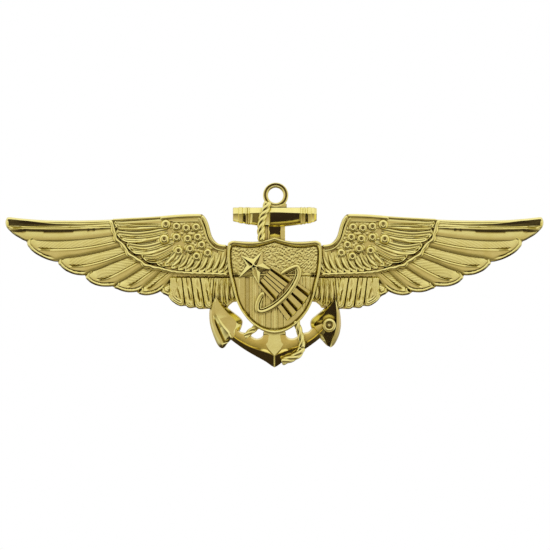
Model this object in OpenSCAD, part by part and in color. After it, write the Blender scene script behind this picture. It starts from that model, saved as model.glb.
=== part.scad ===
// Pilot wings pin: a pair of feathered wings behind a shield and a fouled anchor,
// held to cloth by two posts with butterfly clutches.
// X runs along the span, Z is up as worn and the front faces -Y.
// The flat back lies in the plane Y = 0, and the clutches stand behind it on +Y.

/* [Badge] */

// Width across both wing tips
wing_span = 70; // [40:1:90]
// Thickness of the flat plate under the feathers
plate_thick = 1.0; // [0.6:0.1:1.6]
// Front height of the long outer feather
feather_high = 1.75; // [1.3:0.05:2.2]
// Drop in height from each long feather to the next one in
feather_drop = 0.08; // [0.02:0.01:0.1]
// Front height of the short covering feathers
covert_high = 1.95; // [1.4:0.05:2.4]
// Width of the raised shaft along each feather
shaft_wide = 0.28; // [0.1:0.02:0.5]

/* [Shoulder scales] */

// Diameter of one round scale
scale_dia = 1.08; // [0.6:0.02:1.4]
// Front height of the scales
scale_high = 2.2; // [1.6:0.05:2.6]
// Diameter of the dimple in each scale
dimple_dia = 0.4; // [0.2:0.05:0.6]

/* [Shield] */

// Front height of the shield's field
shield_high = 2.2; // [1.8:0.05:2.6]
// Front height of the shield's border
border_high = 2.5; // [2.0:0.05:3]
// Depth of the grooves between the upright stripes
stripe_deep = 0.12; // [0.05:0.01:0.3]

/* [Star and orbit] */

// Distance from the star's middle to a point
star_reach = 2.3; // [1.5:0.05:2.6]
// Height of the star's peak
star_high = 2.95; // [2.5:0.05:3.2]
// Front height of the rays behind the star
ray_high = 2.45; // [2.3:0.05:2.8]
// Half of the orbit's length, to its outer edge
orbit_long = 4.35; // [3.6:0.05:4.4]
// Half of the orbit's width, to its outer edge
orbit_short = 1.75; // [1.4:0.05:2]
// Width of the orbit's band
orbit_band = 0.48; // [0.3:0.02:0.7]
// Tilt of the orbit from level
orbit_tilt = 47; // [20:1:70]

/* [Anchor] */

// Front height of the arms and flukes
anchor_high = 1.7; // [1.3:0.05:2.2]
// Width of the shank
shank_wide = 2.8; // [2:0.1:3.4]
// Front height of the stock's flat front
stock_high = 2.4; // [1.8:0.05:2.8]
// Outside diameter of the ring at the anchor's head
ring_dia = 3.3; // [2.6:0.1:4]
// Hole through the ring
ring_hole = 2.0; // [1.2:0.1:2.4]
// Width of the rope
rope_wide = 1.1; // [0.7:0.05:1.4]
// Front height of the rope
rope_high = 2.8; // [2.4:0.05:3]

/* [Posts] */

// Distance between the two posts
post_spacing = 24.4; // [16:0.2:30]
// Diameter of a post
post_dia = 1.1; // [0.9:0.05:1.4]
// Length of a post behind the badge
post_long = 8; // [6:0.5:10]
// Diameter of the stiff root of a post
root_dia = 1.5; // [1.5:0.05:2]
// Distance from the badge to the end of the stiff root
root_end = 1.9; // [1.4:0.1:2]
// Diameter of the soldered pad
pad_dia = 4; // [3:0.1:6]
// Thickness of the soldered pad
pad_thick = 0.4; // [0.2:0.05:0.8]

/* [Clutches] */

// Diameter of a butterfly clutch
clutch_dia = 9.5; // [8:0.5:11.5]
// Gap for cloth between the badge and a clutch
cloth_gap = 2.2; // [2.1:0.1:3]
// Thickness of the clutch's sheet metal
sheet = 0.35; // [0.25:0.05:0.5]
// Hole through the clutch for the post
clutch_hole = 1.7; // [1.5:0.1:2.4]
// Gap between a jaw and the post
jaw_gap = 0.05; // [0.03:0.01:0.1]
// Width of a jaw and of its ear
ear_wide = 4; // [3:0.1:4.6]
// Distance from the post to the pin that an ear turns on
pivot_out = 2.7; // [2.2:0.1:3.2]
// Distance from the clutch's front to that pin
pivot_back = 2.4; // [2:0.1:3]
// Diameter of the rolled bend that an ear turns on
roll_dia = 0.7; // [0.5:0.05:1]
// Radial running gap of the rolled bend's ends
roll_gap = 0.04; // [0.02:0.01:0.08]

/* [Hidden] */

ratio = wing_span / 70;
gold = [0.86, 0.79, 0.42];
post_out = post_spacing / 2;
behind = 1;
beyond = 6;
shaft_proud = 0.1;
covert_drop = 0.04;
bar_proud = 0.1;
rim_proud = 0.13;
dimple_deep = 0.15;
star_middle = [-2.65, -1.05];
star_turn = 65;
star_waist = 0.42;
orbit_middle = [0.4, -3.8];
ring_middle = [0.15, 8.45];
ring_clear = 0.2;
boss_middle = [7.15, -8.45];
boss_dia = 1.8;
boss_hollow = 0.9;
scale_places = [
    [14.15, 4.65],
    [12.75, 4.35],
    [11.5, 4.15],
    [10.2, 4.25],
    [14.35, 2.75],
    [12.75, 2.95],
    [11.3, 2.75],
    [10.0, 2.95],
    [12.5, 1.2],
    [11.0, 1.45],
    [9.5, 1.95],
    [10.15, 0.45],
    [8.7, 0.9]
];
dish_rim = 0.9;
strap_half = 2.5;
strap_back = cloth_gap + 3.25;
pivot_y = cloth_gap + pivot_back;
jaw_y = cloth_gap + 1.35;
jaw_meet = 0.1;
$fn = 48;

// A curve from p to r that leans towards q, as a list of points.
function curve(p, q, r, n = 6) = [
    for (i = [0 : n])
        let (t = i / n)
            (1 - t) * (1 - t) * p + 2 * t * (1 - t) * q + t * t * r
];

// The same curve moved sideways by d.
function beside(p, q, r, d, n = 6) = [
    for (i = [0 : n])
        let (
            t = i / n,
            at = (1 - t) * (1 - t) * p + 2 * t * (1 - t) * q + t * t * r,
            go = (1 - t) * (q - p) + t * (r - q),
            long = norm(go)
        )
            at + d * [-go[1], go[0]] / long
];

function turned_back(list) = [for (i = [len(list) - 1 : -1 : 0]) list[i]];

// A half outline that starts and ends on the middle line, made whole.
function both_sides(list) = concat(
    list,
    [for (i = [len(list) - 2 : -1 : 1]) [-list[i][0], list[i][1]]]
);

function on_oval(half_long, half_short, n = 56) = [
    for (i = [0 : n - 1])
        [half_long * cos(360 * i / n), half_short * sin(360 * i / n)]
];

// The star's outline: five points with five inner corners between them.
function star_corners() = [
    for (i = [0 : 9])
        let (
            reach = i % 2 == 0 ? star_reach : star_reach * star_waist,
            turn = star_turn + 36 * i
        )
            star_middle + reach * [cos(turn), sin(turn)]
];

// A flat shape drawn as seen from the front, raised from one height to another.
module raise(low, high) {
    rotate([90, 0, 0])
        translate([0, 0, low])
            linear_extrude(height = high - low)
                scale(ratio)
                    children();
}

// A strip of even width along a curve.
module strip(p, q, r, wide, n = 6) {
    polygon(concat(beside(p, q, r, wide / 2, n), turned_back(beside(p, q, r, -wide / 2, n))));
}

// One feather: a rounded tip from a to c, an under edge from c to e, and a root.
module feather(a, b, c, d, e, root, high) {
    raise(plate_thick / 2, high)
        polygon(concat(curve(a, b, c), curve(c, d, e, 4), [root]));
}

module shaft(p, q, r, high) {
    raise(plate_thick / 2, high + shaft_proud)
        strip(p, q, r, shaft_wide, 5);
}

module shield_outline() {
    polygon(both_sides(concat(
        curve([0, 2.95], [2.6, 2.05], [5.5, 2.5], 5),
        [[5.95, 2.35]],
        curve([6.1, 1.9], [6.35, -2.1], [4.8, -5.6], 6),
        [[4.3, -6.6], [3.6, -7.6], [2.8, -8.4], [1.9, -9.05], [0.9, -9.45], [0, -9.6]]
    )));
}

module shield_field() {
    polygon(both_sides(concat(
        curve([0, 2.4], [2.6, 1.35], [5.25, 1.95], 5),
        [[5.55, 1.7]],
        curve([5.65, 1.2], [5.8, -1.9], [4.35, -5.4], 6),
        [[3.9, -6.4], [3.3, -7.2], [2.5, -8.0], [1.7, -8.5], [0.8, -8.85], [0, -8.95]]
    )));
}

module shank_outline() {
    translate([-shank_wide / 2, -11.5])
        square([shank_wide, 15.7]);
}

module arms_outline() {
    polygon(both_sides(concat(
        [[0, -9]],
        curve([1.4, -9.9], [3.0, -10.6], [4.6, -9.55], 5),
        [[5.6, -9.0], [6.4, -9.6]],
        curve([6.2, -10.3], [3.0, -12.3], [0.4, -13.75], 6),
        [[0, -14]]
    )));
}

module left_fluke_outline() {
    polygon(concat(
        curve([-7.7, -4.7], [-9.35, -7.2], [-7.9, -9.8], 8),
        curve([-7.75, -10.2], [-7.0, -12.6], [-6.1, -10.9], 6),
        [[-5.9, -10.2], [-4.7, -9.6]],
        curve([-4.4, -9.1], [-3.85, -8.0], [-4.5, -7.5], 4),
        curve([-4.9, -7.2], [-6.5, -6.3], [-7.6, -4.8], 5)
    ));
}

module right_fluke_outline() {
    polygon(concat(
        curve([7.95, -4.9], [9.35, -8.1], [8.2, -10.3], 8),
        curve([8.0, -10.7], [7.25, -12.2], [6.3, -10.5], 6),
        [[5.9, -10.1], [4.7, -9.7]],
        curve([4.85, -9.2], [4.45, -8.1], [5.2, -7.4], 4),
        curve([5.6, -7.2], [7.1, -6.5], [7.8, -5.1], 5)
    ));
}

module anchor_outline() {
    shank_outline();
    arms_outline();
    left_fluke_outline();
    right_fluke_outline();
}

module stock_outline() {
    polygon(concat(
        [[-5.25, 6.9], [-5.4, 6.6], [-5.4, 5.1], [-5.2, 4.95]],
        curve([-4.8, 4.75], [0, 3.65], [4.9, 4.75], 8),
        [[5.3, 4.95], [5.5, 5.1], [5.5, 6.6], [5.35, 6.9]]
    ));
}

module upper_rope_outline() {
    strip([-0.8, 7.7], [-2.0, 5.1], [-1.65, 2.3], rope_wide, 7);
}

module left_rope_outline() {
    strip([-1.9, -8.35], [-3.1, -9.2], [-4.4, -9.95], rope_wide * 0.8, 3);
}

module right_rope_outline() {
    strip([2.7, -7.6], [3.75, -9.9], [3.45, -11.7], rope_wide * 0.8, 5);
    strip([3.75, -11.3], [3.0, -12.9], [0.85, -13.2], rope_wide * 0.95, 6);
}

// Slanted strands laid across a rope's curve.
module strands(p, q, r, count, lean, wide, high) {
    for (i = [1 : count]) {
        t = (i - 0.5) / count;
        at = (1 - t) * (1 - t) * p + 2 * t * (1 - t) * q + t * t * r;
        go = (1 - t) * (q - p) + t * (r - q);
        raise(plate_thick, high)
            translate(at)
                rotate(atan2(go[1], go[0]) + lean)
                    square([wide * 0.32, wide * 0.9], center = true);
    }
}

// One wing on the +X side, before the anchor and shield are cut out of it.
module wing_solid() {
    h = feather_high;
    s = feather_drop;
    c = covert_high;
    raise(0, plate_thick) {
        polygon(concat(
            curve([34.3, 5.55], [35.2, 5.6], [35.05, 4.8], 4),
            curve([34.9, 4.2], [34.2, 2.9], [32.4, 2.5], 4),
            curve([32.3, 2.2], [31.6, 0.1], [28.3, -0.25], 6),
            curve([28.2, -0.4], [27.7, -1.95], [24.75, -1.95], 6),
            curve([24.6, -2.3], [23.9, -3.65], [21.1, -3.45], 6),
            curve([20.9, -3.6], [20.2, -4.45], [18.0, -4.15], 5),
            curve([17.7, -4.4], [16.6, -5.0], [14.9, -4.1], 4),
            [[14.4, -4.5], [13.7, -4.75]],
            curve([13.6, -4.9], [13.2, -6.0], [12.2, -6.1], 4),
            [[11.5, -6.05], [11.0, -6.35], [10.2, -6.25], [9.5, -6.5], [8.0, -6.4]],
            [[6.1, -6.3], [5.7, -5.7], [4.9, -5.45]],
            [[1.4, -5.4], [1.4, 1.85], [6.4, 1.85]],
            curve([6.9, 1.95], [8.4, 2.3], [8.6, 4.5], 5),
            curve([8.9, 5.3], [9.2, 6.05], [10.2, 6.0], 3),
            curve([12.5, 5.95], [16.0, 5.8], [21.0, 5.3], 4),
            curve([24.0, 5.2], [28.0, 5.05], [33.0, 5.45], 4)
        ));
    }
    feather([34.9, 5.0], [34.8, 3.0], [32.4, 2.5], [27, 2.6], [20.8, 3.2], [14.5, 4.3], h);
    raise(plate_thick / 2, h)
        strip([34.6, 5.2], [27, 4.75], [14.5, 5.3], 0.6, 5);
    feather([32.4, 2.8], [31.6, 0.2], [28.3, -0.25], [24.5, 0.8], [19, 2.0], [14, 4.2], h - s);
    feather([28.6, 0.6], [27.9, -1.95], [24.75, -1.95], [22, -0.5], [17.5, 0.9], [13.5, 3.4], h - 2 * s);
    feather([25.2, -1.2], [24.2, -3.7], [21.1, -3.45], [19.3, -2.6], [16, -0.4], [13, 2.4], h - 3 * s);
    feather([21.5, -2.9], [20.5, -4.55], [18.0, -4.15], [16.8, -3.2], [14, -0.9], [12, 1.4], h - 4 * s);
    feather([18.4, -3.9], [16.8, -5.15], [14.9, -4.1], [14.2, -3.4], [12.6, -1.6], [11, 0.6], h - 5 * s);
    feather([15.2, -3.8], [14.5, -4.85], [13.6, -4.75], [13.2, -3.5], [12.2, -2.0], [10.5, 0], h - 6 * s);
    shaft([34.0, 4.35], [28, 4.1], [15.0, 4.7], h);
    shaft([30.9, 1.6], [26, 1.4], [20.8, 2.5], h - s);
    shaft([27.0, -0.65], [24, -0.5], [19.6, 1.0], h - 2 * s);
    shaft([23.5, -2.45], [21.5, -2.1], [17.9, -0.3], h - 3 * s);
    shaft([19.8, -3.5], [18, -2.9], [15.9, -1.3], h - 4 * s);
    shaft([17.0, -3.9], [15.8, -3.3], [13.8, -1.7], h - 5 * s);
    for (i = [0 : 3])
        feather(
            [13.6 - 1.28 * i, -4.9],
            [13.3 - 1.28 * i, -6.1 - 0.09 * i],
            [12.5 - 1.28 * i, -6.1 - 0.13 * i],
            [12.3 - 1.25 * i, -5.0],
            [12.3 - 1.2 * i, -2.0],
            [13.4 - 1.2 * i, -1.6],
            h - 4 * s + 0.03 * i
        );
    for (i = [0 : 3])
        feather(
            [8.9 - 0.75 * i, -5.2 + 0.1 * i],
            [8.7 - 0.75 * i, -6.2 + 0.25 * i],
            [8.1 - 0.75 * i, -6.0 + 0.25 * i],
            [8.2 - 0.7 * i, -4.0],
            [8.3 - 0.62 * i, -1.9],
            [9.0 - 0.62 * i, -1.7],
            h - 5 * s + 0.03 * i
        );
    feather([21.2, 5.0], [20.9, 3.9], [20.2, 3.85], [18, 3.8], [15, 3.9], [14.5, 5.2], c - covert_drop);
    feather([20.9, 3.7], [20.6, 2.2], [19.2, 2.15], [17, 2.2], [14.5, 2.9], [14, 4.4], c - 2 * covert_drop);
    feather([19.6, 2.0], [19.1, 0.5], [17.9, 0.55], [16, 0.7], [13.2, 2.0], [13, 3.2], c - 3 * covert_drop);
    feather([17.8, 0.6], [16.9, -0.65], [15.3, -0.5], [14.0, 0.1], [12.4, 1.0], [12.6, 2.6], c - 4 * covert_drop);
    feather([15.6, -0.4], [15.0, -1.2], [14.0, -1.2], [12.8, -0.6], [11.6, 0.4], [12, 2], c - 5 * covert_drop);
    for (i = [0 : 5])
        feather(
            [13.9 - 1.15 * i, -1.3 - 0.1 * i],
            [13.2 - 1.15 * i, -1.75 - 0.08 * i],
            [12.6 - 1.15 * i, -1.75 - 0.06 * i],
            [12.2 - 1.1 * i, -0.6],
            [11.2 - 0.75 * i, 0.9 - 0.1 * i],
            [12.2 - 0.8 * i, 1.3 - 0.1 * i],
            c - (6 - 0.5 * i) * covert_drop
        );
    raise(plate_thick / 2, c - 0.3)
        polygon([
            [14.8, 5.6],
            [9.4, 5.8],
            [8.5, 3.2],
            [7.2, 1.85],
            [6, 1.8],
            [6, -0.6],
            [9, -0.6],
            [13.5, 1.6],
            [15.3, 2.6]
        ]);
    raise(plate_thick / 2, c + bar_proud)
        strip([14.4, 5.4], [12, 5.6], [9.6, 5.72], 0.6, 3);
    raise(plate_thick / 2, c + rim_proud)
        strip([9.55, 5.7], [8.3, 1.6], [6, 1.55], 0.62, 8);
    for (at = scale_places)
        raise(plate_thick / 2, scale_high)
            translate(at)
                circle(d = scale_dia, $fn = 24);
}

module wing_dimples() {
    for (at = scale_places)
        raise(scale_high - dimple_deep, beyond)
            translate(at)
                circle(d = dimple_dia, $fn = 16);
}

module right_wing() {
    color(gold)
        difference() {
            wing_solid();
            wing_dimples();
            raise(-behind, beyond)
                anchor_outline();
            raise(plate_thick, beyond)
                shield_outline();
        }
}

module left_wing() {
    color(gold)
        difference() {
            mirror([1, 0, 0]) {
                difference() {
                    wing_solid();
                    wing_dimples();
                }
            }
            raise(-behind, beyond)
                anchor_outline();
            raise(plate_thick, beyond)
                shield_outline();
        }
}

module anchor() {
    color(gold)
        difference() {
            union() {
                raise(0, plate_thick + 0.2)
                    anchor_outline();
                raise(plate_thick / 2, anchor_high)
                    polygon(both_sides(concat(
                        [[0, -9]],
                        curve([1.4, -10.1], [3.0, -10.9], [4.8, -9.8], 5),
                        [[6.0, -8.8], [6.2, -9.3]],
                        curve([5.9, -9.7], [3.4, -11.6], [0, -12.4], 6)
                    )));
                raise(plate_thick / 2, anchor_high + 0.1) {
                    difference() {
                        translate([-shank_wide / 2 + 0.15, -11.2])
                            square([shank_wide - 0.3, 15.4]);
                        translate([-0.7, 3.1])
                            square([1.4, 1.5]);
                    }
                }
                raise(plate_thick / 2, anchor_high + 0.2)
                    left_fluke_outline();
                raise(plate_thick / 2, anchor_high + 0.3)
                    strip([-7.8, -6.8], [-7.4, -9.2], [-6.7, -11.0], 0.8, 5);
                raise(plate_thick / 2, anchor_high + 0.15)
                    right_fluke_outline();
                raise(plate_thick / 2, anchor_high + 0.3)
                    strip([8.1, -5.8], [8.7, -8.4], [7.6, -10.8], 0.45, 6);
                raise(plate_thick / 2, anchor_high + 0.45)
                    translate(boss_middle)
                        circle(d = boss_dia, $fn = 36);
            }
            raise(anchor_high + 0.2, beyond)
                translate(boss_middle)
                    circle(d = boss_hollow, $fn = 24);
            raise(plate_thick, beyond) {
                shield_outline();
                upper_rope_outline();
                left_rope_outline();
                right_rope_outline();
            }
            raise(-behind, beyond)
                stock_outline();
        }
}

module anchor_stock() {
    color(gold)
        difference() {
            union() {
                raise(0, stock_high - 0.5)
                    stock_outline();
                raise(plate_thick / 2, stock_high)
                    polygon(concat(
                        [[3.4, 6.3], [-3.0, 6.3], [-3.0, 5.0]],
                        curve([-2.6, 4.85], [0.2, 4.4], [3.4, 5.0], 5)
                    ));
                for (x = [-3.45, -4.45, 3.55, 4.5])
                    raise(plate_thick / 2, stock_high + 0.15)
                        translate([x - 0.2, 4.75])
                            square([0.4, 2.05]);
                for (x = [-5.3, 5.0])
                    raise(plate_thick / 2, stock_high + 0.05)
                        translate([x, 5.1])
                            square([0.4, 1.6]);
            }
            raise(plate_thick, beyond)
                upper_rope_outline();
        }
}

module anchor_ring() {
    color(gold)
        difference() {
            union() {
                translate([ring_middle[0] * ratio, 0, ring_middle[1] * ratio])
                    rotate([90, 0, 0])
                        rotate_extrude($fn = 64)
                            polygon([
                                [ring_hole / 2, 0],
                                [ring_dia / 2, 0],
                                [ring_dia / 2, 1.35],
                                [ring_dia / 2 - 0.15, 1.6],
                                [ring_dia / 2 - 0.35, 1.45],
                                [ring_hole / 2 + 0.2, 1.5],
                                [ring_hole / 2, 1.3]
                            ]);
                difference() {
                    raise(0, 1.55)
                        polygon([[-1.5, 6.8], [1.6, 6.8], [1.6, 7.4], [1.1, 7.6], [-1.0, 7.6], [-1.5, 7.4]]);
                    translate([ring_middle[0] * ratio, behind, ring_middle[1] * ratio])
                        rotate([90, 0, 0])
                            cylinder(d = ring_hole, h = beyond, $fn = 64);
                }
            }
            raise(-behind, beyond)
                stock_outline();
            raise(plate_thick, beyond)
                upper_rope_outline();
        }
}

module rope_upper() {
    color(gold)
        difference() {
            union() {
                raise(0, rope_high - 0.25)
                    upper_rope_outline();
                strands([-0.8, 7.5], [-2.0, 5.1], [-1.65, 2.6], 8, 35, rope_wide, rope_high);
            }
            raise(-behind, plate_thick) {
                stock_outline();
                anchor_outline();
                translate(ring_middle)
                    circle(d = ring_dia / ratio, $fn = 64);
                translate([-1.5, 6.8])
                    square([3.1, 1.2]);
            }
            raise(-behind, beyond) {
                shield_outline();
                translate(ring_middle)
                    circle(d = ring_hole / ratio + 2 * ring_clear, $fn = 64);
            }
        }
}

module rope_left() {
    color(gold)
        difference() {
            union() {
                raise(0, rope_high - 1)
                    left_rope_outline();
                strands([-2.2, -8.55], [-3.1, -9.2], [-4.3, -9.9], 4, 35, rope_wide * 0.8, rope_high - 0.8);
            }
            raise(-behind, plate_thick)
                anchor_outline();
            raise(-behind, beyond) {
                shield_outline();
                left_fluke_outline();
            }
        }
}

module rope_right() {
    color(gold)
        difference() {
            union() {
                raise(0, rope_high - 0.5)
                    right_rope_outline();
                strands([2.9, -8.1], [3.75, -9.9], [3.5, -11.3], 5, -35, rope_wide * 0.8, rope_high - 0.25);
                strands([3.4, -12.0], [2.9, -12.8], [1.1, -13.15], 4, -35, rope_wide * 0.95, rope_high - 0.25);
            }
            raise(-behind, plate_thick)
                anchor_outline();
            raise(-behind, beyond)
                shield_outline();
        }
}

module star_tail() {
    polygon([
        [-0.6, -1.3],
        [1.7, -2.45],
        [3.0, -3.2],
        [4.4, -4.2],
        [4.15, -5.2],
        [3.5, -6.1],
        [2.7, -7.0],
        [2.3, -7.4],
        [1.65, -7.9],
        [0.5, -6.2],
        [-0.2, -5.0],
        [-2.1, -3.0]
    ]);
}

// The orbit's band, open where it passes behind the rays.
module orbit_outline() {
    translate(orbit_middle)
        rotate(orbit_tilt)
            difference() {
                polygon(on_oval(orbit_long, orbit_short));
                polygon(on_oval(orbit_long - orbit_band, orbit_short - orbit_band));
                translate([-1.85, 0.3])
                    square([3.85, orbit_short]);
            }
}

module star_solid() {
    around = star_corners();
    low = shield_high;
    edge = shield_high + 0.1;
    corners = concat(
        [for (at = around) [at[0] * ratio, at[1] * ratio, low]],
        [for (at = around) [at[0] * ratio, at[1] * ratio, edge]],
        [[star_middle[0] * ratio, star_middle[1] * ratio, star_high]]
    );
    rotate([90, 0, 0])
        polyhedron(
            points = corners,
            faces = concat(
                [[for (i = [0 : 9]) i]],
                [for (i = [0 : 9]) [i, i + 10, (i + 1) % 10 + 10, (i + 1) % 10]],
                [for (i = [0 : 9]) [i + 10, 20, (i + 1) % 10 + 10]]
            )
        );
}

module shield_solid() {
    difference() {
        union() {
            raise(plate_thick, shield_high)
                shield_outline();
            raise(0, plate_thick + 0.1)
                difference() {
                    shield_outline();
                    translate([-7, -5.4])
                        square([14, 7.25]);
                }
            raise(plate_thick, border_high)
                difference() {
                    shield_outline();
                    shield_field();
                }
            raise(plate_thick, shield_high + 0.12)
                intersection() {
                    shield_field();
                    translate([-7, -2.1])
                        square([14, 0.35]);
                }
        }
        raise(-behind, plate_thick)
            anchor_outline();
        raise(-behind, plate_thick)
            polygon([
                [-6.1, -6.3],
                [-5.7, -5.7],
                [-4.9, -5.45],
                [-1.4, -5.4],
                [-1.4, -5],
                [-6, -5]
            ]);
        raise(-behind, plate_thick)
            polygon([
                [6.1, -6.3],
                [5.7, -5.7],
                [4.9, -5.45],
                [1.4, -5.4],
                [1.4, -5],
                [6, -5]
            ]);
        for (x = [-3.3, -1.5, -0.7, 0.2, 1.0])
            raise(shield_high - stripe_deep, shield_high + 0.2)
                intersection() {
                    shield_field();
                    translate([x - 0.09, -8.7])
                        square([0.18, 6.5]);
                }
    }
}

module shield() {
    color(gold)
        difference() {
            shield_solid();
            raise(shield_high, beyond) {
                star_tail();
                orbit_outline();
                polygon(star_corners());
            }
        }
}

module shooting_star() {
    color(gold)
        difference() {
            union() {
                star_solid();
                raise(shield_high, ray_high)
                    star_tail();
            }
            raise(shield_high + 0.1, beyond)
                orbit_outline();
            raise(shield_high + 0.1, ray_high + 0.05) {
                strip([-0.3, -1.65], [0.6, -2.15], [1.3, -2.65], 0.2, 2);
                strip([-1.85, -3.0], [-1.1, -3.9], [-0.4, -4.6], 0.2, 2);
                strip([-1.0, -2.2], [0, -3.1], [1.1, -4.0], 0.1, 2);
                strip([-1.4, -2.7], [-0.5, -3.7], [0.4, -4.5], 0.1, 2);
                strip([3.1, -3.75], [3.6, -4.1], [4.1, -4.5], 0.24, 2);
                strip([2.5, -4.8], [3.0, -5.2], [3.6, -5.6], 0.18, 2);
                strip([1.9, -5.7], [2.4, -6.2], [3.0, -6.6], 0.18, 2);
                strip([1.1, -6.4], [1.6, -6.9], [2.2, -7.3], 0.18, 2);
            }
        }
}

module orbit() {
    color(gold)
        difference() {
            raise(shield_high, shield_high + 0.5)
                orbit_outline();
            raise(shield_high - behind, shield_high + 0.1)
                star_tail();
        }
}

module post_pad() {
    difference() {
        rotate([-90, 0, 0])
            cylinder(d = pad_dia, h = pad_thick);
        translate([0, -behind, 0])
            rotate([-90, 0, 0])
                cylinder(d = post_dia, h = beyond);
    }
}

module post_solid() {
    r = post_dia / 2;
    rotate([-90, 0, 0])
        rotate_extrude()
            polygon([
                [0, 0],
                [r, 0],
                [r, pad_thick],
                [root_dia / 2, pad_thick],
                [root_dia / 2, root_end],
                [r, root_end + 0.12],
                [r, post_long - 2.0],
                [r - 0.14, post_long - 1.85],
                [r - 0.14, post_long - 1.5],
                [r, post_long - 1.35],
                [r, post_long - 1.1],
                [0.08, post_long],
                [0, post_long]
            ]);
}

module clutch_dish() {
    rotate([-90, 0, 0])
        rotate_extrude()
            polygon([
                [clutch_hole / 2, cloth_gap],
                [clutch_dia / 2 - 0.3, cloth_gap],
                [clutch_dia / 2, cloth_gap + 0.3],
                [clutch_dia / 2, cloth_gap + dish_rim],
                [clutch_dia / 2 - sheet, cloth_gap + dish_rim],
                [clutch_dia / 2 - sheet, cloth_gap + sheet + 0.1],
                [clutch_dia / 2 - sheet - 0.1, cloth_gap + sheet],
                [clutch_hole / 2, cloth_gap + sheet]
            ]);
}

module clutch_cap() {
    side_y = cloth_gap + sheet;
    difference() {
        union() {
            for (side = [-1, 1])
                translate([side * (strap_half - sheet / 2) - sheet / 2, side_y, -3.3])
                    cube([sheet, strap_back - side_y, 6.6]);
            translate([-strap_half, strap_back - sheet, -2.2])
                cube([2 * strap_half, sheet, 4.4]);
        }
        rotate([-90, 0, 0])
            cylinder(d = clutch_hole, h = 12);
        for (side = [-1, 1])
            translate([-4, pivot_y, side * pivot_out])
                rotate([0, 90, 0])
                    cylinder(d = roll_dia * 0.7 + 2 * roll_gap, h = 8);
        for (side = [-1, 1])
            translate([-4, strap_back, side * 4.05])
                rotate([0, 90, 0])
                    cylinder(r = 1.0, h = 8);
    }
}

// The upper jaw and its ear; the lower one is its mirror image.
module jaw_solid() {
    inside = strap_half - sheet - 0.1;
    difference() {
        union() {
            translate([-inside, pivot_y, pivot_out])
                rotate([0, 90, 0])
                    cylinder(d = roll_dia, h = 2 * inside);
            translate([-strap_half - 0.15, pivot_y, pivot_out])
                rotate([0, 90, 0])
                    cylinder(d = roll_dia * 0.7, h = 2 * strap_half + 0.3);
            rotate([0, 90, 0])
                translate([0, 0, -ear_wide / 2])
                    linear_extrude(height = ear_wide)
                        polygon([
                            [-pivot_out + 0.2, pivot_y + 0.1],
                            [-pivot_out - 0.15, pivot_y - 0.15],
                            [-jaw_meet, jaw_y - sheet / 2],
                            [-jaw_meet, jaw_y + sheet / 2],
                            [-pivot_out + 0.5, pivot_y - 0.1]
                        ]);
            rotate([0, 90, 0])
                translate([0, 0, -ear_wide / 2])
                    linear_extrude(height = ear_wide)
                        polygon(concat(
                            curve(
                                [-pivot_out + 0.1, pivot_y + 0.2],
                                [-pivot_out - 1.5, pivot_y + 0.2],
                                [-pivot_out - 2.2, pivot_y + 2.2]
                            ),
                            curve(
                                [-pivot_out - 2.5, pivot_y + 2.1],
                                [-pivot_out - 1.8, pivot_y - 0.2],
                                [-pivot_out, pivot_y - 0.2]
                            )
                        ));
        }
        rotate([-90, 0, 0])
            cylinder(d = post_dia + 2 * jaw_gap, h = 12);
    }
}

module clutch_jaw(up) {
    if (up)
        jaw_solid();
    else
        mirror([0, 0, 1])
            jaw_solid();
}

module left_post_pad() {
    color(gold)
        translate([-post_out, 0, 0])
            post_pad();
}

module right_post_pad() {
    color(gold)
        translate([post_out, 0, 0])
            post_pad();
}

module left_post() {
    color(gold)
        translate([-post_out, 0, 0])
            post_solid();
}

module right_post() {
    color(gold)
        translate([post_out, 0, 0])
            post_solid();
}

module left_clutch_dish() {
    color(gold)
        translate([-post_out, 0, 0])
            clutch_dish();
}

module right_clutch_dish() {
    color(gold)
        translate([post_out, 0, 0])
            clutch_dish();
}

module left_clutch_cap() {
    color(gold)
        translate([-post_out, 0, 0])
            clutch_cap();
}

module right_clutch_cap() {
    color(gold)
        translate([post_out, 0, 0])
            clutch_cap();
}

module left_upper_jaw() {
    color(gold)
        translate([-post_out, 0, 0])
            clutch_jaw(true);
}

module left_lower_jaw() {
    color(gold)
        translate([-post_out, 0, 0])
            clutch_jaw(false);
}

module right_upper_jaw() {
    color(gold)
        translate([post_out, 0, 0])
            clutch_jaw(true);
}

module right_lower_jaw() {
    color(gold)
        translate([post_out, 0, 0])
            clutch_jaw(false);
}

left_wing();
right_wing();
anchor();
anchor_stock();
anchor_ring();
rope_upper();
rope_left();
rope_right();
shield();
shooting_star();
orbit();
left_post_pad();
right_post_pad();
left_post();
right_post();
left_clutch_dish();
right_clutch_dish();
left_clutch_cap();
right_clutch_cap();
left_upper_jaw();
left_lower_jaw();
right_upper_jaw();
right_lower_jaw();
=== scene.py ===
import math

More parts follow.
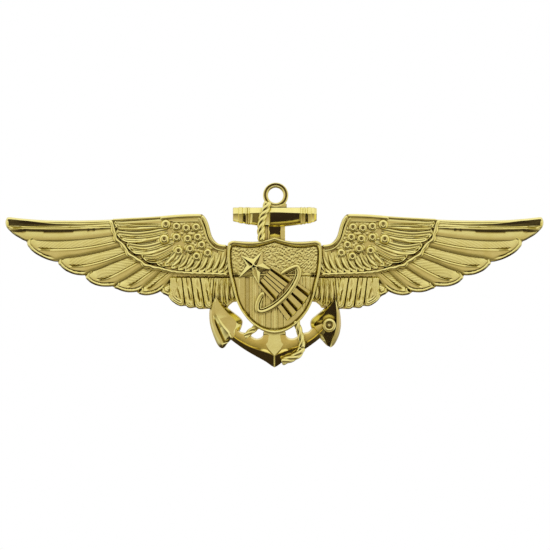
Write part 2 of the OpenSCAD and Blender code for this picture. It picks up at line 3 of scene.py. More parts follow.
import bmesh
import bpy
import numpy as np
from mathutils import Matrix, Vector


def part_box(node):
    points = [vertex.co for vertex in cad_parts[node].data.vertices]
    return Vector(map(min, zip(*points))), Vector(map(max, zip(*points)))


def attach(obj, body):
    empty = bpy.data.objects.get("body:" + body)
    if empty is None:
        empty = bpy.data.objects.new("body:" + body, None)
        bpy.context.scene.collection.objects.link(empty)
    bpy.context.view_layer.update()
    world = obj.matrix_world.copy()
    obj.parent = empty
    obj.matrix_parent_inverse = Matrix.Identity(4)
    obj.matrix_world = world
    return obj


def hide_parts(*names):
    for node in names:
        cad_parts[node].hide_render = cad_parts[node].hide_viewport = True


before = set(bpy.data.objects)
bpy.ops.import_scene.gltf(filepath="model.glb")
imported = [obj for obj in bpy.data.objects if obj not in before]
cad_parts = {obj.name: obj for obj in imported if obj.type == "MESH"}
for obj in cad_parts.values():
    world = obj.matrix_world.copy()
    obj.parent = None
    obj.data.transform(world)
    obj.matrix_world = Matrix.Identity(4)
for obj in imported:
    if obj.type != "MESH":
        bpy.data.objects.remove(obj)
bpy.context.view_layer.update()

# ---------------------------------------------------------------------------
# Sizes. Drawings are in millimetres as seen from the front: x outwards or to
# the right, z up, and h the height of the front above the flat back.
# ---------------------------------------------------------------------------

DRAWN_SPAN = 70.1
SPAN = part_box("right_wing")[1][0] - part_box("left_wing")[0][0]
MM = SPAN / DRAWN_SPAN
POST_X = 0.5 * (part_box("right_post")[0][0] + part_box("right_post")[1][0])
# Edges that turn by more than this are drawn sharp, on rounded relief and on facets.
SHARP = math.radians(38)
SHARP_FACETS = math.radians(24)
# The heights of the flat backs. No two pieces that overlap have their backs in one plane.
SHANK_BACK = 0.0
ARMS_BACK = 0.015
WING_BACK = 0.02
FLUKES_BACK = 0.03
RING_BACK = 0.05
LUG_BACK = 0.08
ROPE_BACK = 0.11


# ---------------------------------------------------------------------------
# Curves in the drawing plane
# ---------------------------------------------------------------------------

def smooth_curve(points, per=10):
    """A Catmull-Rom curve through the points, as an array of dense points."""
    p = np.array(points, float)
    p = np.vstack([2 * p[0] - p[1], p, 2 * p[-1] - p[-2]])
    t = np.linspace(0, 1, per, endpoint=False)[:, None]
    out = []
    for a, b, c, d in zip(p[:-3], p[1:-2], p[2:-1], p[3:]):
        out.append(0.5 * (2 * b + (c - a) * t + (2 * a - 5 * b + 4 * c - d) * t ** 2
                          + (3 * b - a - 3 * c + d) * t ** 3))
    out.append(p[-2][None, :])
    return np.vstack(out)


def bend(a, b, c, n=12):
    """A quadratic curve from a to c that leans towards b."""
    t = np.linspace(0, 1, n + 1)[:, None]
    a, b, c = (np.array(point, float) for point in (a, b, c))
    return (1 - t) ** 2 * a + 2 * t * (1 - t) * b + t ** 2 * c


def away(points, line):
    """The distance of each point from a polyline."""
    a = line[:-1]
    d = line[1:] - a
    long2 = np.maximum((d ** 2).sum(1), 1e-12)
    best = np.full(points.shape[:-1], np.inf)
    for k in range(len(a)):
        rel = points - a[k]
        t = np.clip((rel @ d[k]) / long2[k], 0, 1)
        near = rel - t[..., None] * d[k]
        best = np.minimum(best, (near ** 2).sum(-1))
    return np.sqrt(best)


def along(line):
    """The length of a polyline up to each of its points."""
    return np.concatenate([[0], np.cumsum(np.linalg.norm(np.diff(line, axis=0), axis=1))])


def resampled(line, n):
    """The polyline with n + 1 points, evenly spaced."""
    s = along(line)
    at = np.linspace(0, s[-1], n + 1)
    return np.stack([np.interp(at, s, line[:, 0]), np.interp(at, s, line[:, 1])], 1)


def side_of(line):
    """The unit normals to the left of a polyline's run."""
    go = np.gradient(line, axis=0)
    go /= np.maximum(np.linalg.norm(go, axis=1), 1e-12)[:, None]
    return np.stack([-go[:, 1], go[:, 0]], 1)


def offset(line, by):
    """The polyline moved to its left."""
    return line + side_of(line) * by


def inwards(outline):
    """The unit normals that point into a closed outline."""
    closed = np.vstack([outline, outline[:1]])
    area = 0.5 * np.sum(closed[:-1, 0] * closed[1:, 1] - closed[1:, 0] * closed[:-1, 1])
    wrap = np.vstack([outline[-1:], outline, outline[:1]])
    return side_of(wrap)[1:-1] * (1 if area > 0 else -1)


def ease(x):
    """A smooth step from 0 at 0 to 1 at 1."""
    x = np.clip(x, 0, 1)
    return x * x * (3 - 2 * x)


def hump(x):
    """A smooth bump of height 1 and half-width about 1."""
    return np.exp(-x * x * 2.2)


# ---------------------------------------------------------------------------
# Mesh building
# ---------------------------------------------------------------------------

def quads(n, m, across=False, around=False):
    """The faces of a grid of n rows of m points, which can close up across the rows or around them."""
    return [(i * m + k, i * m + (k + 1) % m, (i + 1) % n * m + (k + 1) % m, (i + 1) % n * m + k)
            for i in range(n if around else n - 1) for k in range(m if across else m - 1)]


class Build:
    """Collects closed solids, in millimetres, and turns them into one object."""

    def __init__(self):
        self.points = []
        self.faces = []
        self.count = 0

    def add(self, points, faces):
        points = np.asarray(points, float)
        self.points.append(points)
        self.faces.extend([tuple(i + self.count for i in f) for f in faces])
        self.count += len(points)

    def skin(self, rings):
        """A solid through closed rings of equal count, with a cap on the first and on the last."""
        rings = np.asarray(rings, float)
        n, m = rings.shape[:2]
        faces = quads(n, m, across=True) + [tuple(range(m)), tuple(range((n - 1) * m, n * m))]
        self.add(rings.reshape(-1, 3), faces)

    def relief(self, flat, high, floor):
        """A grid of drawing points with heights, closed down to a flat floor."""
        n, m = high.shape
        top = np.dstack([flat[..., 0], high, flat[..., 1]]).reshape(-1, 3)
        rim = ([i * m for i in range(n)]
               + [(n - 1) * m + j for j in range(1, m)]
               + [i * m + m - 1 for i in range(n - 2, -1, -1)]
               + [j for j in range(m - 2, 0, -1)])
        low = top[rim].copy()
        low[:, 1] = floor
        faces = quads(n, m)
        base = n * m
        count = len(rim)
        for k in range(count):
            after = (k + 1) % count
            faces.append((rim[k], base + k, base + after, rim[after]))
        faces.append(tuple(range(base, base + count)))
        self.add(np.vstack([top, low]), faces)

    def loft(self, lines, heights, floor):
        """A relief between corresponding lines across it, each with its own height or heights."""
        high = [np.broadcast_to(np.asarray(h, float), (len(lines[0]),)) for h in heights]
        self.relief(np.stack(lines, 1), np.stack(high, 1), floor)

    def stack(self, outline, rings):
        """An outline raised through rings, given as (inset, height)."""
        flat = np.asarray(outline, float)
        into = inwards(flat)
        self.skin([np.insert(flat + into * inset, 1, h, axis=1) for inset, h in rings])

    def plate(self, outline, low, high, lip=0.0):
        """An outline raised from low to high, with a small bevelled lip at the front."""
        flat = np.asarray(outline, float)
        if np.linalg.norm(flat[0] - flat[-1]) < 1e-6:
            flat = flat[:-1]
        self.stack(flat, [(0.0, low), (0.0, high - lip)] + ([(lip, high)] if lip > 0 else []))

    def bevelled(self, outline, floor, low, high, inset):
        """An outline with upright sides to the height low, then a bevel of the given inset up to high."""
        self.stack(outline, [(0.0, floor), (0.0, low - 0.12), (0.04 * inset, low), (inset, high)])

    def strip(self, line, wide, high, floor, crown=0.12, rows=8):
        """A rounded band of the given width along a line, tapered at its ends."""
        n = len(line)
        s = along(line)
        wide = np.broadcast_to(np.asarray(wide, float), (n,))
        share = np.clip(np.minimum(s, s[-1] - s) / (0.5 * wide + 1e-9), 0, 1)
        taper = np.maximum(np.sqrt(share * (2 - share)), 0.12)
        v = np.sin(np.linspace(-math.pi / 2, math.pi / 2, rows + 1))
        off = v[None, :] * (0.5 * wide * taper)[:, None]
        flat = line[:, None, :] + off[..., None] * side_of(line)[:, None, :]
        shape = np.sqrt(np.clip(1 - v ** 2, 0, 1))
        tall = np.broadcast_to(np.asarray(high, float), (n,))
        up = (tall - crown)[:, None] + crown * shape[None, :] * taper[:, None]
        self.relief(flat, up, floor)

    def tube(self, path, radius, sides=14):
        """A round bar along a path of (x, h, z) points."""
        path = np.asarray(path, float)
        go = np.gradient(path, axis=0)
        go /= np.linalg.norm(go, axis=1)[:, None]
        a = np.cross(go, (0.0, 1.0, 0.0))
        a /= np.maximum(np.linalg.norm(a, axis=1), 1e-9)[:, None]
        b = np.cross(a, go)
        turn = np.linspace(0, 2 * math.pi, sides, endpoint=False)[None, :, None]
        ring = np.cos(turn) * a[:, None, :] + np.sin(turn) * b[:, None, :]
        self.skin(path[:, None, :] + ring * radius[:, None, None])

    def turned(self, middle, profile, steps=32):
        """A profile of (radius, height) pairs turned about an axis along h.
        It starts and ends on the axis, or is a closed loop away from it."""
        cx, cz = middle
        profile = np.asarray(profile, float)
        turn = np.linspace(0, 2 * math.pi, steps, endpoint=False)
        points = []
        rows = []
        for r, h in profile:
            if r < 1e-6:
                rows.append([len(points)])
                points.append((cx, h, cz))
            else:
                rows.append(list(range(len(points), len(points) + steps)))
                points.extend((cx + r * math.cos(t), h, cz + r * math.sin(t)) for t in turn)
        pairs = list(zip(rows[:-1], rows[1:]))
        if profile[0][0] > 1e-6:
            pairs.append((rows[-1], rows[0]))
        faces = []
        for a, b in pairs:
            for k in range(steps):
                after = (k + 1) % steps
                if len(a) == 1:
                    faces.append((a[0], b[k], b[after]))
                elif len(b) == 1:
                    faces.append((a[k], b[0], a[after]))
                else:
                    faces.append((a[k], b[k], b[after], a[after]))
        self.add(points, faces)

    def object(self, name, mirror=False, at=(0.0, 0.0, 0.0), sharp=SHARP):
        """The collected solids as one object, in metres in the shared frame."""
        points = np.vstack(self.points)
        if mirror:
            points = points * np.array([-1.0, 1.0, 1.0])
        places = np.stack([points[:, 0], -points[:, 1], points[:, 2]], 1) * MM + np.array(at)
        mesh = bpy.data.meshes.new(name)
        mesh.from_pydata(places.tolist(), [], self.faces)
        work = bmesh.new()
        work.from_mesh(mesh)
        bmesh.ops.remove_doubles(work, verts=work.verts, dist=1e-8)
        bmesh.ops.dissolve_degenerate(work, edges=work.edges, dist=1e-8)
        bmesh.ops.recalc_face_normals(work, faces=work.faces)
        for f in work.faces:
            f.smooth = True
        for e in work.edges:
            if len(e.link_faces) == 2:
                e.smooth = e.calc_face_angle(0.0) < sharp
        work.to_mesh(mesh)
        work.free()
        mesh.update()
        obj = bpy.data.objects.new(name, mesh)
        bpy.context.scene.collection.objects.link(obj)
        return obj


# ---------------------------------------------------------------------------
# Struck patterns and feathers
# ---------------------------------------------------------------------------

def inside(points, outline):
    """Which of the points lie in a closed outline."""
    x, z = points[..., 0], points[..., 1]
    flag = np.zeros(x.shape, bool)
    for (x0, z0), (x1, z1) in zip(outline, outline[1:] + outline[:1]):
        crosses = ((z0 > z) != (z1 > z)) & (x < (x1 - x0) * (z - z0) / ((z1 - z0) or 1e-9) + x0)
        flag ^= crosses
    return flag


def scattered(x, z, pitch, reach, seed=0.0):
    """How near each place is, from 0 to 1, to the nearest of many scattered spots."""
    gx, gz = np.floor(x / pitch), np.floor(z / pitch)
    best = np.zeros_like(x)
    for i in (-1, 0, 1):
        for j in (-1, 0, 1):
            cx, cz = gx + i, gz + j
            a = np.sin(cx * 127.1 + cz * 311.7 + seed) * 43758.5
            b = np.sin(cx * 269.5 + cz * 183.3 + seed) * 24634.6
            px = (cx + 0.5 + 0.72 * (a - np.floor(a) - 0.5)) * pitch
            pz = (cz + 0.5 + 0.72 * (b - np.floor(b) - 0.5)) * pitch
            d = np.hypot(x - px, z - pz) / pitch
            best = np.maximum(best, np.clip(1 - (d / reach) ** 2, 0, 1))
    return best


def stipple(x, z):
    """Scattered slanting grains and pits, as on a matt struck ground."""
    run, across = 0.3 * x + 0.52 * z, 0.87 * x - 0.5 * z
    return scattered(run, across, 0.24, 0.5) - 0.9 * scattered(run, across, 0.3, 0.34, seed=2.0)


def rows_about(low, high, middle, upper):
    """Distances from the low edge of a section, closer together at the edge and at the middle line."""
    edge_rows, fill, core, core_rows = 12, 6, 0.16, 6
    wide = high - low
    mid = np.clip(middle - low, 0.15 * wide, 0.9 * wide)
    edge = np.minimum(0.5, 0.45 * mid)
    half = np.minimum(core, 0.3 * np.minimum(mid - edge, wide - mid) + 1e-6)

    def spread(start, end, count):
        return start[:, None] + np.linspace(0, 1, count + 1)[None, 1:] * (end - start)[:, None]

    near = np.linspace(0, 1, edge_rows + 1)[None, :] * edge[:, None]
    return np.hstack([near, spread(edge, mid - half, fill), spread(mid - half, mid + half, core_rows),
                      spread(mid + half, wide, upper)])


FEATHER_FLOOR = 0.35
BARB_PITCH = 0.2
BARB_LEAN = math.radians(24)


def feather(build, outline, axis, high, quill, upper, hidden=0, steps=120, tilt=0.0, wall=0.3,
            wall_wide=(0.2, 0.14), fall=0.0, fall_wide=0.55, rim=0.02, rim_wide=0.2, rim_long=1.2,
            barbs=0.0, lines=None, ribs=None, wobble=0.0, extra=None):
    """One feather as a closed relief, high at its front.

    outline runs from the hidden root corner round the tip to the root of the under edge, and
    hidden is how many of its first points lie under the next feather. axis is a point near the
    tip and one near the root, quill is the shaft's line, and upper and steps are the rows above
    the shaft and along the feather. The front leans back by tilt across the feather, and drops
    by wall and by fall at the free edge, over wall_wide (at the tip, at the root) and fall_wide.
    rim is the height of the raised edge about the tip, and barbs that of the fine slanting ones.
    lines are grooves beside the shaft and ribs grooves beside the edge, as (pitch, depth).
    extra is a last function of the heights."""
    dense = smooth_curve(outline, 9)
    go = np.array(axis[1], float) - np.array(axis[0], float)
    go /= np.linalg.norm(go)
    up = np.array([-go[1], go[0]])
    k = int(np.argmin(dense @ go))
    top, low = dense[:k + 1][::-1], dense[k:]
    if (top @ up).mean() < (low @ up).mean():
        up = -up
    s0 = float(dense[k] @ go)
    s1 = min(float((top @ go).max()), float((low @ go).max()))
    u = np.linspace(0, 1, steps + 1)
    f = u ** (1 + 1.1 * (1 - u) ** 3)
    s = s0 + (s1 - s0) * np.maximum(f, 1e-4 * u)

    def level(line):
        at = np.maximum.accumulate(line @ go) + np.arange(len(line)) * 1e-9
        return np.interp(s, at, line @ up)

    t_low, t_top = level(low), level(top)
    t_top = np.maximum(t_top, t_low + 1e-4)
    line = smooth_curve(quill, 8)
    order = np.argsort(line @ go)
    t_mid = np.interp(s, (line @ go)[order], (line @ up)[order])
    t = t_low[:, None] + rows_about(t_low, t_top, t_mid, upper)
    flat = s[:, None, None] * go + t[..., None] * up
    edge = away(flat, dense[hidden * 9:])
    run = (s - s0)[:, None] + 0 * t
    across = t - t_mid[:, None]
    wide = (t_top - t_low)[:, None]

    h = np.full(flat.shape[:2], float(high))
    h -= tilt * np.clip((t - t_low[:, None]) / np.maximum(wide, 0.3), 0, 1) ** 3 * ease(run / 1.5)
    # The shaft: a groove that is deeper near the tip, with a ridge below it.
    q0, q1 = float((line @ go).min()), float((line @ go).max())
    on = ease((s - q0) / 0.6)[:, None] * ease((q1 + 0.8 - s) / 0.8)[:, None]
    near = 1 - ease((run - (q0 - s0) - 0.8) / 1.6)
    h -= (0.08 + 0.09 * near) * hump(across / (0.07 + 0.05 * near)) * on
    h += 0.035 * hump((across + 0.17) / 0.1) * on
    above = ease((across - 0.05) / 0.1) * on
    h -= 0.02 * above
    turn = across * math.cos(BARB_LEAN) + run * math.sin(BARB_LEAN)
    h += barbs * np.cos(2 * math.pi * turn / BARB_PITCH) * above * ease((edge - 0.3) / 0.15)
    if lines is not None:
        gap, deep = lines
        groove = (0.5 - 0.5 * np.cos(2 * math.pi * across / gap)) ** 2
        h -= deep * groove * ease((edge - 0.2) / 0.15)
    drop_wide = wall_wide[0] + (wall_wide[1] - wall_wide[0]) * ease((run - 2.0) / 6.0)
    if ribs is not None:
        gap, deep = ribs
        sway = 0.07 * np.sin(1.9 * run + 7.0 * wobble) * ease(run / 1.5)
        groove = 0.5 - 0.5 * np.cos(2 * math.pi * (edge + sway - drop_wide * 0.7) / gap)
        h -= deep * groove * ease((edge - 0.12) / 0.12)
    near_tip = 1 - ease((run - rim_long) / 1.0)
    h += rim * hump((edge - rim_wide * 0.85) / (rim_wide * 0.35)) * near_tip
    h -= 1.2 * rim * hump((edge - rim_wide * 1.45) / (rim_wide * 0.25)) * near_tip
    if extra is not None:
        h = extra(h, flat)
    h -= wall * (1 - np.clip(edge / drop_wide, 0, 1)) ** 1.5
    h -= fall * (1 - np.clip(edge / fall_wide, 0, 1)) * ease((run - 1.0) / 3.0)
    build.relief(flat, np.maximum(h, FEATHER_FLOOR + 0.05), FEATHER_FLOOR)


def blade(tip, lean, root, half):
    """The outline of a narrow feather about a curved spine, from one root corner round the tip."""
    spine = bend(tip, lean, root, 8)
    side = side_of(spine)
    w = half * np.sqrt(np.clip(along(spine) / (half * 1.3), 0, 1))
    left = (spine + side * w[:, None])[1:]
    right = (spine - side * w[:, None])[1:]
    return np.vstack([left[::-1], spine[:1], right]), (tip, root)


# ---------------------------------------------------------------------------
# Materials
# ---------------------------------------------------------------------------

def new_material(name):
    """A material with one principled shader, and its tree and shader."""
    mat = bpy.data.materials.new(name)
    mat.use_nodes = True
    tree = mat.node_tree
    tree.nodes.clear()
    out = tree.nodes.new("ShaderNodeOutputMaterial")
    shader = tree.nodes.new("ShaderNodeBsdfPrincipled")
    tree.links.new(shader.outputs["BSDF"], out.inputs["Surface"])
    return mat, tree, shader


def feed(tree, node, inputs):
    """Sets a node's inputs. Each is a plain value, or the output that feeds it."""
    for key, value in inputs.items():
        if isinstance(value, bpy.types.NodeSocket):
            tree.links.new(value, node.inputs[key])
        else:
            node.inputs[key].default_value = value


def shader_node(tree, kind, output, inputs, **settings):
    """Adds a node with its settings and inputs, and returns one of its outputs."""
    node = tree.nodes.new("ShaderNode" + kind)
    for key, value in settings.items():
        setattr(node, key, value)
    feed(tree, node, inputs)
    return node.outputs[output]


def remap(tree, value, low, high, to_low=0.0, to_high=1.0, **settings):
    """Spreads the range from low to high over the one from to_low to to_high."""
    ends = {"Value": value, "From Min": low, "From Max": high, "To Min": to_low, "To Max": to_high}
    return shader_node(tree, "MapRange", "Result", ends, **settings)


def noise(tree, spot, scale, detail):
    return shader_node(tree, "TexNoise", "Fac", {"Vector": spot, "Scale": scale, "Detail": detail})


def mixed(tree, share, a, b):
    return shader_node(tree, "Mix", "Result", {"Factor": share, "A": a, "B": b}, data_type="RGBA")


# The dark colour painted into creases and occluded recesses as shade, and how far the occlusion that finds
# them reaches.
RECESS_SHADE = (0.17, 0.105, 0.02, 1)
CAVITY_REACH = 0.45 * MM
BUMP_DEPTH = 0.00006


def gold(name, base, warm, rough, fine_bump):
    """Polished plated metal: two mottled tones, shade painted dark into creases and recesses, haze in the
    gloss and a fine grain.
    """
    mat, tree, shader = new_material(name)
    spot = shader_node(tree, "TexCoord", "Object", {})
    mottle = remap(tree, noise(tree, spot, 900.0, 4.0), 0.35, 0.7)
    tone = mixed(tree, mottle, (*base, 1), (*warm, 1))
    # Painted shade: sharp creases (low pointiness) and places that the ambient occlusion finds closed in
    # are darkened towards the recess colour.
    hollow = remap(tree, shader_node(tree, "NewGeometry", "Pointiness", {}), 0.38, 0.49, 0.6, 0.0)
    occlusion = shader_node(tree, "AmbientOcclusion", "AO", {"Distance": CAVITY_REACH}, samples=6)
    depth = remap(tree, occlusion, 0.3, 0.82, 0.95, 0.0)
    painted_shade = shader_node(tree, "Math", "Value", {0: hollow, 1: depth}, operation="MAXIMUM")
    gloss = remap(tree, noise(tree, spot, 260.0, 3.0), 0.3, 0.75, rough * 0.75, rough * 1.35)
    grain = noise(tree, spot, 2600.0, 5.0)
    bump = {"Strength": fine_bump, "Distance": BUMP_DEPTH, "Height": grain}
    feed(tree, shader, {
        "Metallic": 1.0,
        # The base colour, with the painted shade mixed in.
        "Base Color": mixed(tree, painted_shade, tone, RECESS_SHADE),
        "Roughness": gloss,
        "Normal": shader_node(tree, "Bump", "Normal", bump),
    })
    return mat


GOLD = gold("polished_gold", (0.84, 0.77, 0.31), (0.78, 0.70, 0.25), 0.15, 0.12)
PALE = gold("shield_gold", (0.83, 0.76, 0.31), (0.77, 0.69, 0.25), 0.2, 0.2)
DEEP = gold("deep_gold", (0.83, 0.71, 0.23), (0.74, 0.61, 0.16), 0.15, 0.12)
PLAIN = gold("fitting_gold", (0.80, 0.66, 0.26), (0.72, 0.58, 0.2), 0.24, 0.15)
BRASS = gold("clutch_brass", (0.82, 0.64, 0.24), (0.74, 0.55, 0.18), 0.22, 0.15)


def place(obj, material, slot, *nodes, body="badge"):
    """Gives a piece its material and the body it rides on, and hides the CAD nodes it stands for."""
    obj.data.materials.append(material)
    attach(obj, body)
    if nodes:
        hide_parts(*nodes)
    return obj


# ---------------------------------------------------------------------------
# Wings, drawn for the +X side
# ---------------------------------------------------------------------------

# The tips of the long feathers, outermost first, each from its upper corner round to its under edge.
TIPS = [
    [(34.6, 5.58), (34.93, 5.35), (35.05, 4.9), (34.95, 4.4), (34.7, 4.0), (34.1, 3.4), (33.4, 2.95),
     (32.4, 2.45)],
    [(32.25, 2.2), (31.9, 1.5), (31.4, 1.0), (30.8, 0.6), (30.0, 0.2), (29.2, -0.08), (28.3, -0.22)],
    [(28.2, -0.35), (27.9, -0.8), (27.5, -1.2), (27.0, -1.53), (26.2, -1.85), (25.5, -1.98),
     (24.75, -1.98)],
    [(24.62, -2.2), (24.3, -2.7), (23.8, -3.08), (23.1, -3.35), (22.3, -3.48), (21.1, -3.45)],
    [(20.9, -3.6), (20.4, -3.85), (19.8, -4.08), (19.0, -4.22), (18.0, -4.15)],
    [(17.7, -4.38), (17.0, -4.6), (16.3, -4.58), (15.5, -4.38), (14.9, -4.1)],
    [(14.6, -4.35), (14.2, -4.58), (13.7, -4.72)],
]
# The under edges from each tip back to the root, the hidden upper sides, and the shafts.
UNDER = [
    [(31.0, 2.32), (28.0, 2.28), (25.0, 2.5), (22.0, 2.85), (18.5, 3.4), (14.5, 3.9)],
    [(27.0, 0.1), (25.5, 0.3), (24.0, 0.6), (22.0, 1.05), (19.5, 1.75), (16.0, 2.8)],
    [(23.8, -1.65), (22.5, -1.2), (21.0, -0.55), (19.0, 0.2), (16.5, 1.2)],
    [(20.4, -3.2), (19.3, -2.6), (18.2, -1.9), (17.0, -1.1), (15.0, 0.2)],
    [(17.3, -3.85), (16.6, -3.3), (15.7, -2.5), (14.8, -1.6), (13.0, 0.0)],
    [(14.4, -3.7), (13.8, -3.05), (13.1, -2.2), (12.0, -0.8)],
    [(13.2, -4.0), (12.8, -3.2), (12.2, -2.2), (11.5, -1.2)],
]
UPPER = [
    [(14.5, 5.75), (18.0, 5.5), (22.0, 5.25), (26.0, 5.15), (30.0, 5.2), (33.0, 5.42)],
    [(15.0, 4.4), (22.0, 3.55), (28.0, 3.0), (31.6, 3.1)],
    [(15.5, 3.0), (20.0, 2.0), (24.0, 0.95), (27.7, 0.5)],
    [(14.5, 1.9), (18.0, 0.9), (21.0, -0.2), (24.1, -1.3)],
    [(13.0, 1.6), (16.0, -0.4), (19.0, -2.1), (20.6, -3.0)],
    [(12.0, 0.8), (14.6, -1.3), (16.2, -2.8), (17.5, -3.8)],
    [(11.2, -0.2), (12.9, -2.1), (14.0, -3.2), (14.8, -3.8)],
]
QUILLS = [
    [(34.5, 4.3), (28.0, 4.2), (14.5, 4.6)],
    [(30.9, 1.52), (28.5, 1.45), (26.5, 1.5), (25.0, 1.65), (23.0, 1.95), (20.0, 2.6)],
    [(26.9, -0.72), (25.0, -0.65), (23.0, -0.25), (21.0, 0.4), (19.0, 1.2)],
    [(23.3, -2.5), (22.0, -2.35), (20.5, -1.7), (19.0, -0.9), (17.0, 0.2)],
    [(19.3, -3.5), (18.0, -2.8), (17.0, -2.1), (15.5, -1.0)],
    [(16.9, -3.95), (15.9, -3.3), (14.8, -2.4), (13.4, -1.2)],
    [(14.0, -4.3), (13.4, -3.6), (12.6, -2.6)],
]
# The wing's front edge by the shield, and each scale's middle and radius.
SHOULDER = [
    (9.3, 5.85), (8.95, 5.45), (8.7, 4.9), (8.5, 4.3), (8.35, 3.7),
    (8.15, 3.1), (7.8, 2.55), (7.3, 2.13), (6.7, 1.93), (6.0, 1.88),
]
SCALES = [
    (14.15, 4.65, 0.62), (12.75, 4.35, 0.55), (11.5, 4.15, 0.55), (10.2, 4.25, 0.55),
    (14.35, 2.75, 0.62), (12.75, 2.95, 0.56), (11.3, 2.75, 0.56), (10.0, 2.95, 0.55),
    (12.5, 1.2, 0.58), (11.0, 1.45, 0.55), (9.5, 1.95, 0.55), (10.15, 0.45, 0.57), (8.7, 0.9, 0.57),
]
# The height of the outermost long feather, and how much lower each next one is.
LONG_TOP = 1.75
DROP = 0.07
# The trough of the leading edge: x, the z of its middle and its half-width.
TROUGH = np.array([(22.0, 4.72, 0.06), (25.3, 4.54, 0.09), (28.4, 4.53, 0.17), (30.5, 4.62, 0.27),
                   (32.0, 4.74, 0.35), (34.0, 4.86, 0.41), (34.67, 4.9, 0.42)])


def leading_feather(h, flat):
    """The rolled leading edge of the outer feather, its trough and its ridge."""
    x, z = flat[..., 0], flat[..., 1]
    middle = np.interp(x, TROUGH[:, 0], TROUGH[:, 1])
    half = np.interp(x, TROUGH[:, 0], TROUGH[:, 2])
    on = ease((x - 14.5) / 3.0) * ease((34.85 - x) / 0.25)
    below = (middle + half) - z
    deep = 1.24 * (0.62 * half + 0.05)
    h = h + 0.12
    h = h - deep * np.clip(below / (2 * half), 0, 1) * on
    h = h + np.minimum(0.35 * deep, 0.09) * ease((below - 2 * half) / 0.1) * on
    top = smooth_curve(UPPER[0] + TIPS[0][:2], 9)
    h = h - 0.05 * hump((away(flat, top) - 0.34) / 0.07) * ease((30.5 - x) / 3.0)
    here = ease((33.3 - x) / 0.9)
    ridge = middle - half - 0.22
    h = h + 0.04 * hump((z - ridge) / 0.1) * here
    h = h - 0.06 * hump((z - ridge + 0.24) / 0.06) * here * ease((x - 27.0) / 2.0)
    h = h - 0.06 * hump((z - ridge + 0.48) / 0.07) * ease((33.6 - x) / 1.0)
    h = h - 0.12 * hump((z - 3.95) / 0.07) * hump((x - 23.85) / 0.5)
    return h - 0.14 * ease((ridge - 0.3 - z) / 0.3) + 0.09 * np.clip(ridge - 0.3 - z, 0, 1.2)


def long_feathers(first, last):
    """The long feathers from the first up to the last, counted from the wing's tip."""
    build = Build()
    for k in range(first, last):
        tips, under, upper = TIPS[k], UNDER[k], UPPER[k]
        look = dict(hidden=len(upper) - 1, steps=210 if k < 4 else 170, upper=36, tilt=0.24,
                    wall_wide=(0.24, 0.24), fall=0.08, rim=0.06, rim_wide=0.3, rim_long=2.3, barbs=0.013)
        axis = tips[len(tips) // 2], 0.5 * (np.array(upper[0]) + np.array(under[-1]))
        if k == 0:
            look = dict(hidden=0, steps=260, upper=40, wall_wide=(0.24, 0.22), fall=0.09, fall_wide=0.62,
                        rim=0.0, extra=leading_feather)
            axis = (35.05, 4.9), (14.5, 4.8)
        feather(build, upper + tips + under, axis, LONG_TOP - DROP * k, QUILLS[k], wall=0.42, **look)
    return build


def outer_feathers():
    return long_feathers(0, 3)


def inner_feathers():
    return long_feathers(3, len(TIPS))


def wing_plate():
    """The flat plate under the feathers, its edge just inside theirs."""
    build = Build()
    parts = [smooth_curve([(8.95, 5.45), (9.3, 5.85), (9.8, 5.98), (12.5, 5.93)] + UPPER[0], 6)]
    for tips in TIPS:
        parts.append(smooth_curve(tips, 6))
    parts.append(smooth_curve([(13.6, -4.88), (13.35, -5.3), (13.0, -5.62), (12.6, -5.9), (12.2, -6.02)],
                              5))
    parts.append(np.array([(11.5, -5.98), (11.0, -6.28), (10.2, -6.2), (9.5, -6.4), (8.0, -6.35),
                           (6.15, -6.25), (5.9, -5.9), (5.4, -5.5), (4.9, -5.42), (1.42, -5.4),
                           (1.42, 1.8)]))
    parts.append(smooth_curve(SHOULDER, 5)[::-1][:-5])
    build.plate(np.vstack(parts), WING_BACK, 0.95)
    curve = smooth_curve([(x + 0.14, z - 0.1) for x, z in SHOULDER], 5)
    build.plate(np.vstack([[(15.2, 5.3), (14.2, 5.55)], curve,
                           [(5.4, -1.8), (8.6, -1.75), (13.2, -1.4), (14.2, -1.0), (16.0, 0.4),
                            (15.4, 2.4)]]), 0.5, 1.7)
    build.plate([(5.6, -1.5), (13.6, -1.3), (13.5, -4.7), (13.0, -5.4), (12.2, -5.8), (8.0, -6.0),
                 (6.1, -5.9), (5.3, -5.2)], 0.5, 1.3)
    return build


# The z of the hanging feathers' hidden roots, and how far their lobes lean out for each millimetre up.
ROOT_Z = -1.9
LOBE_LEAN = 0.13


def under_hem(h, flat):
    """The hollow that shadows the hem of the short feathers."""
    return h - 0.26 * ease((flat[..., 1] + 2.42) / 0.4)


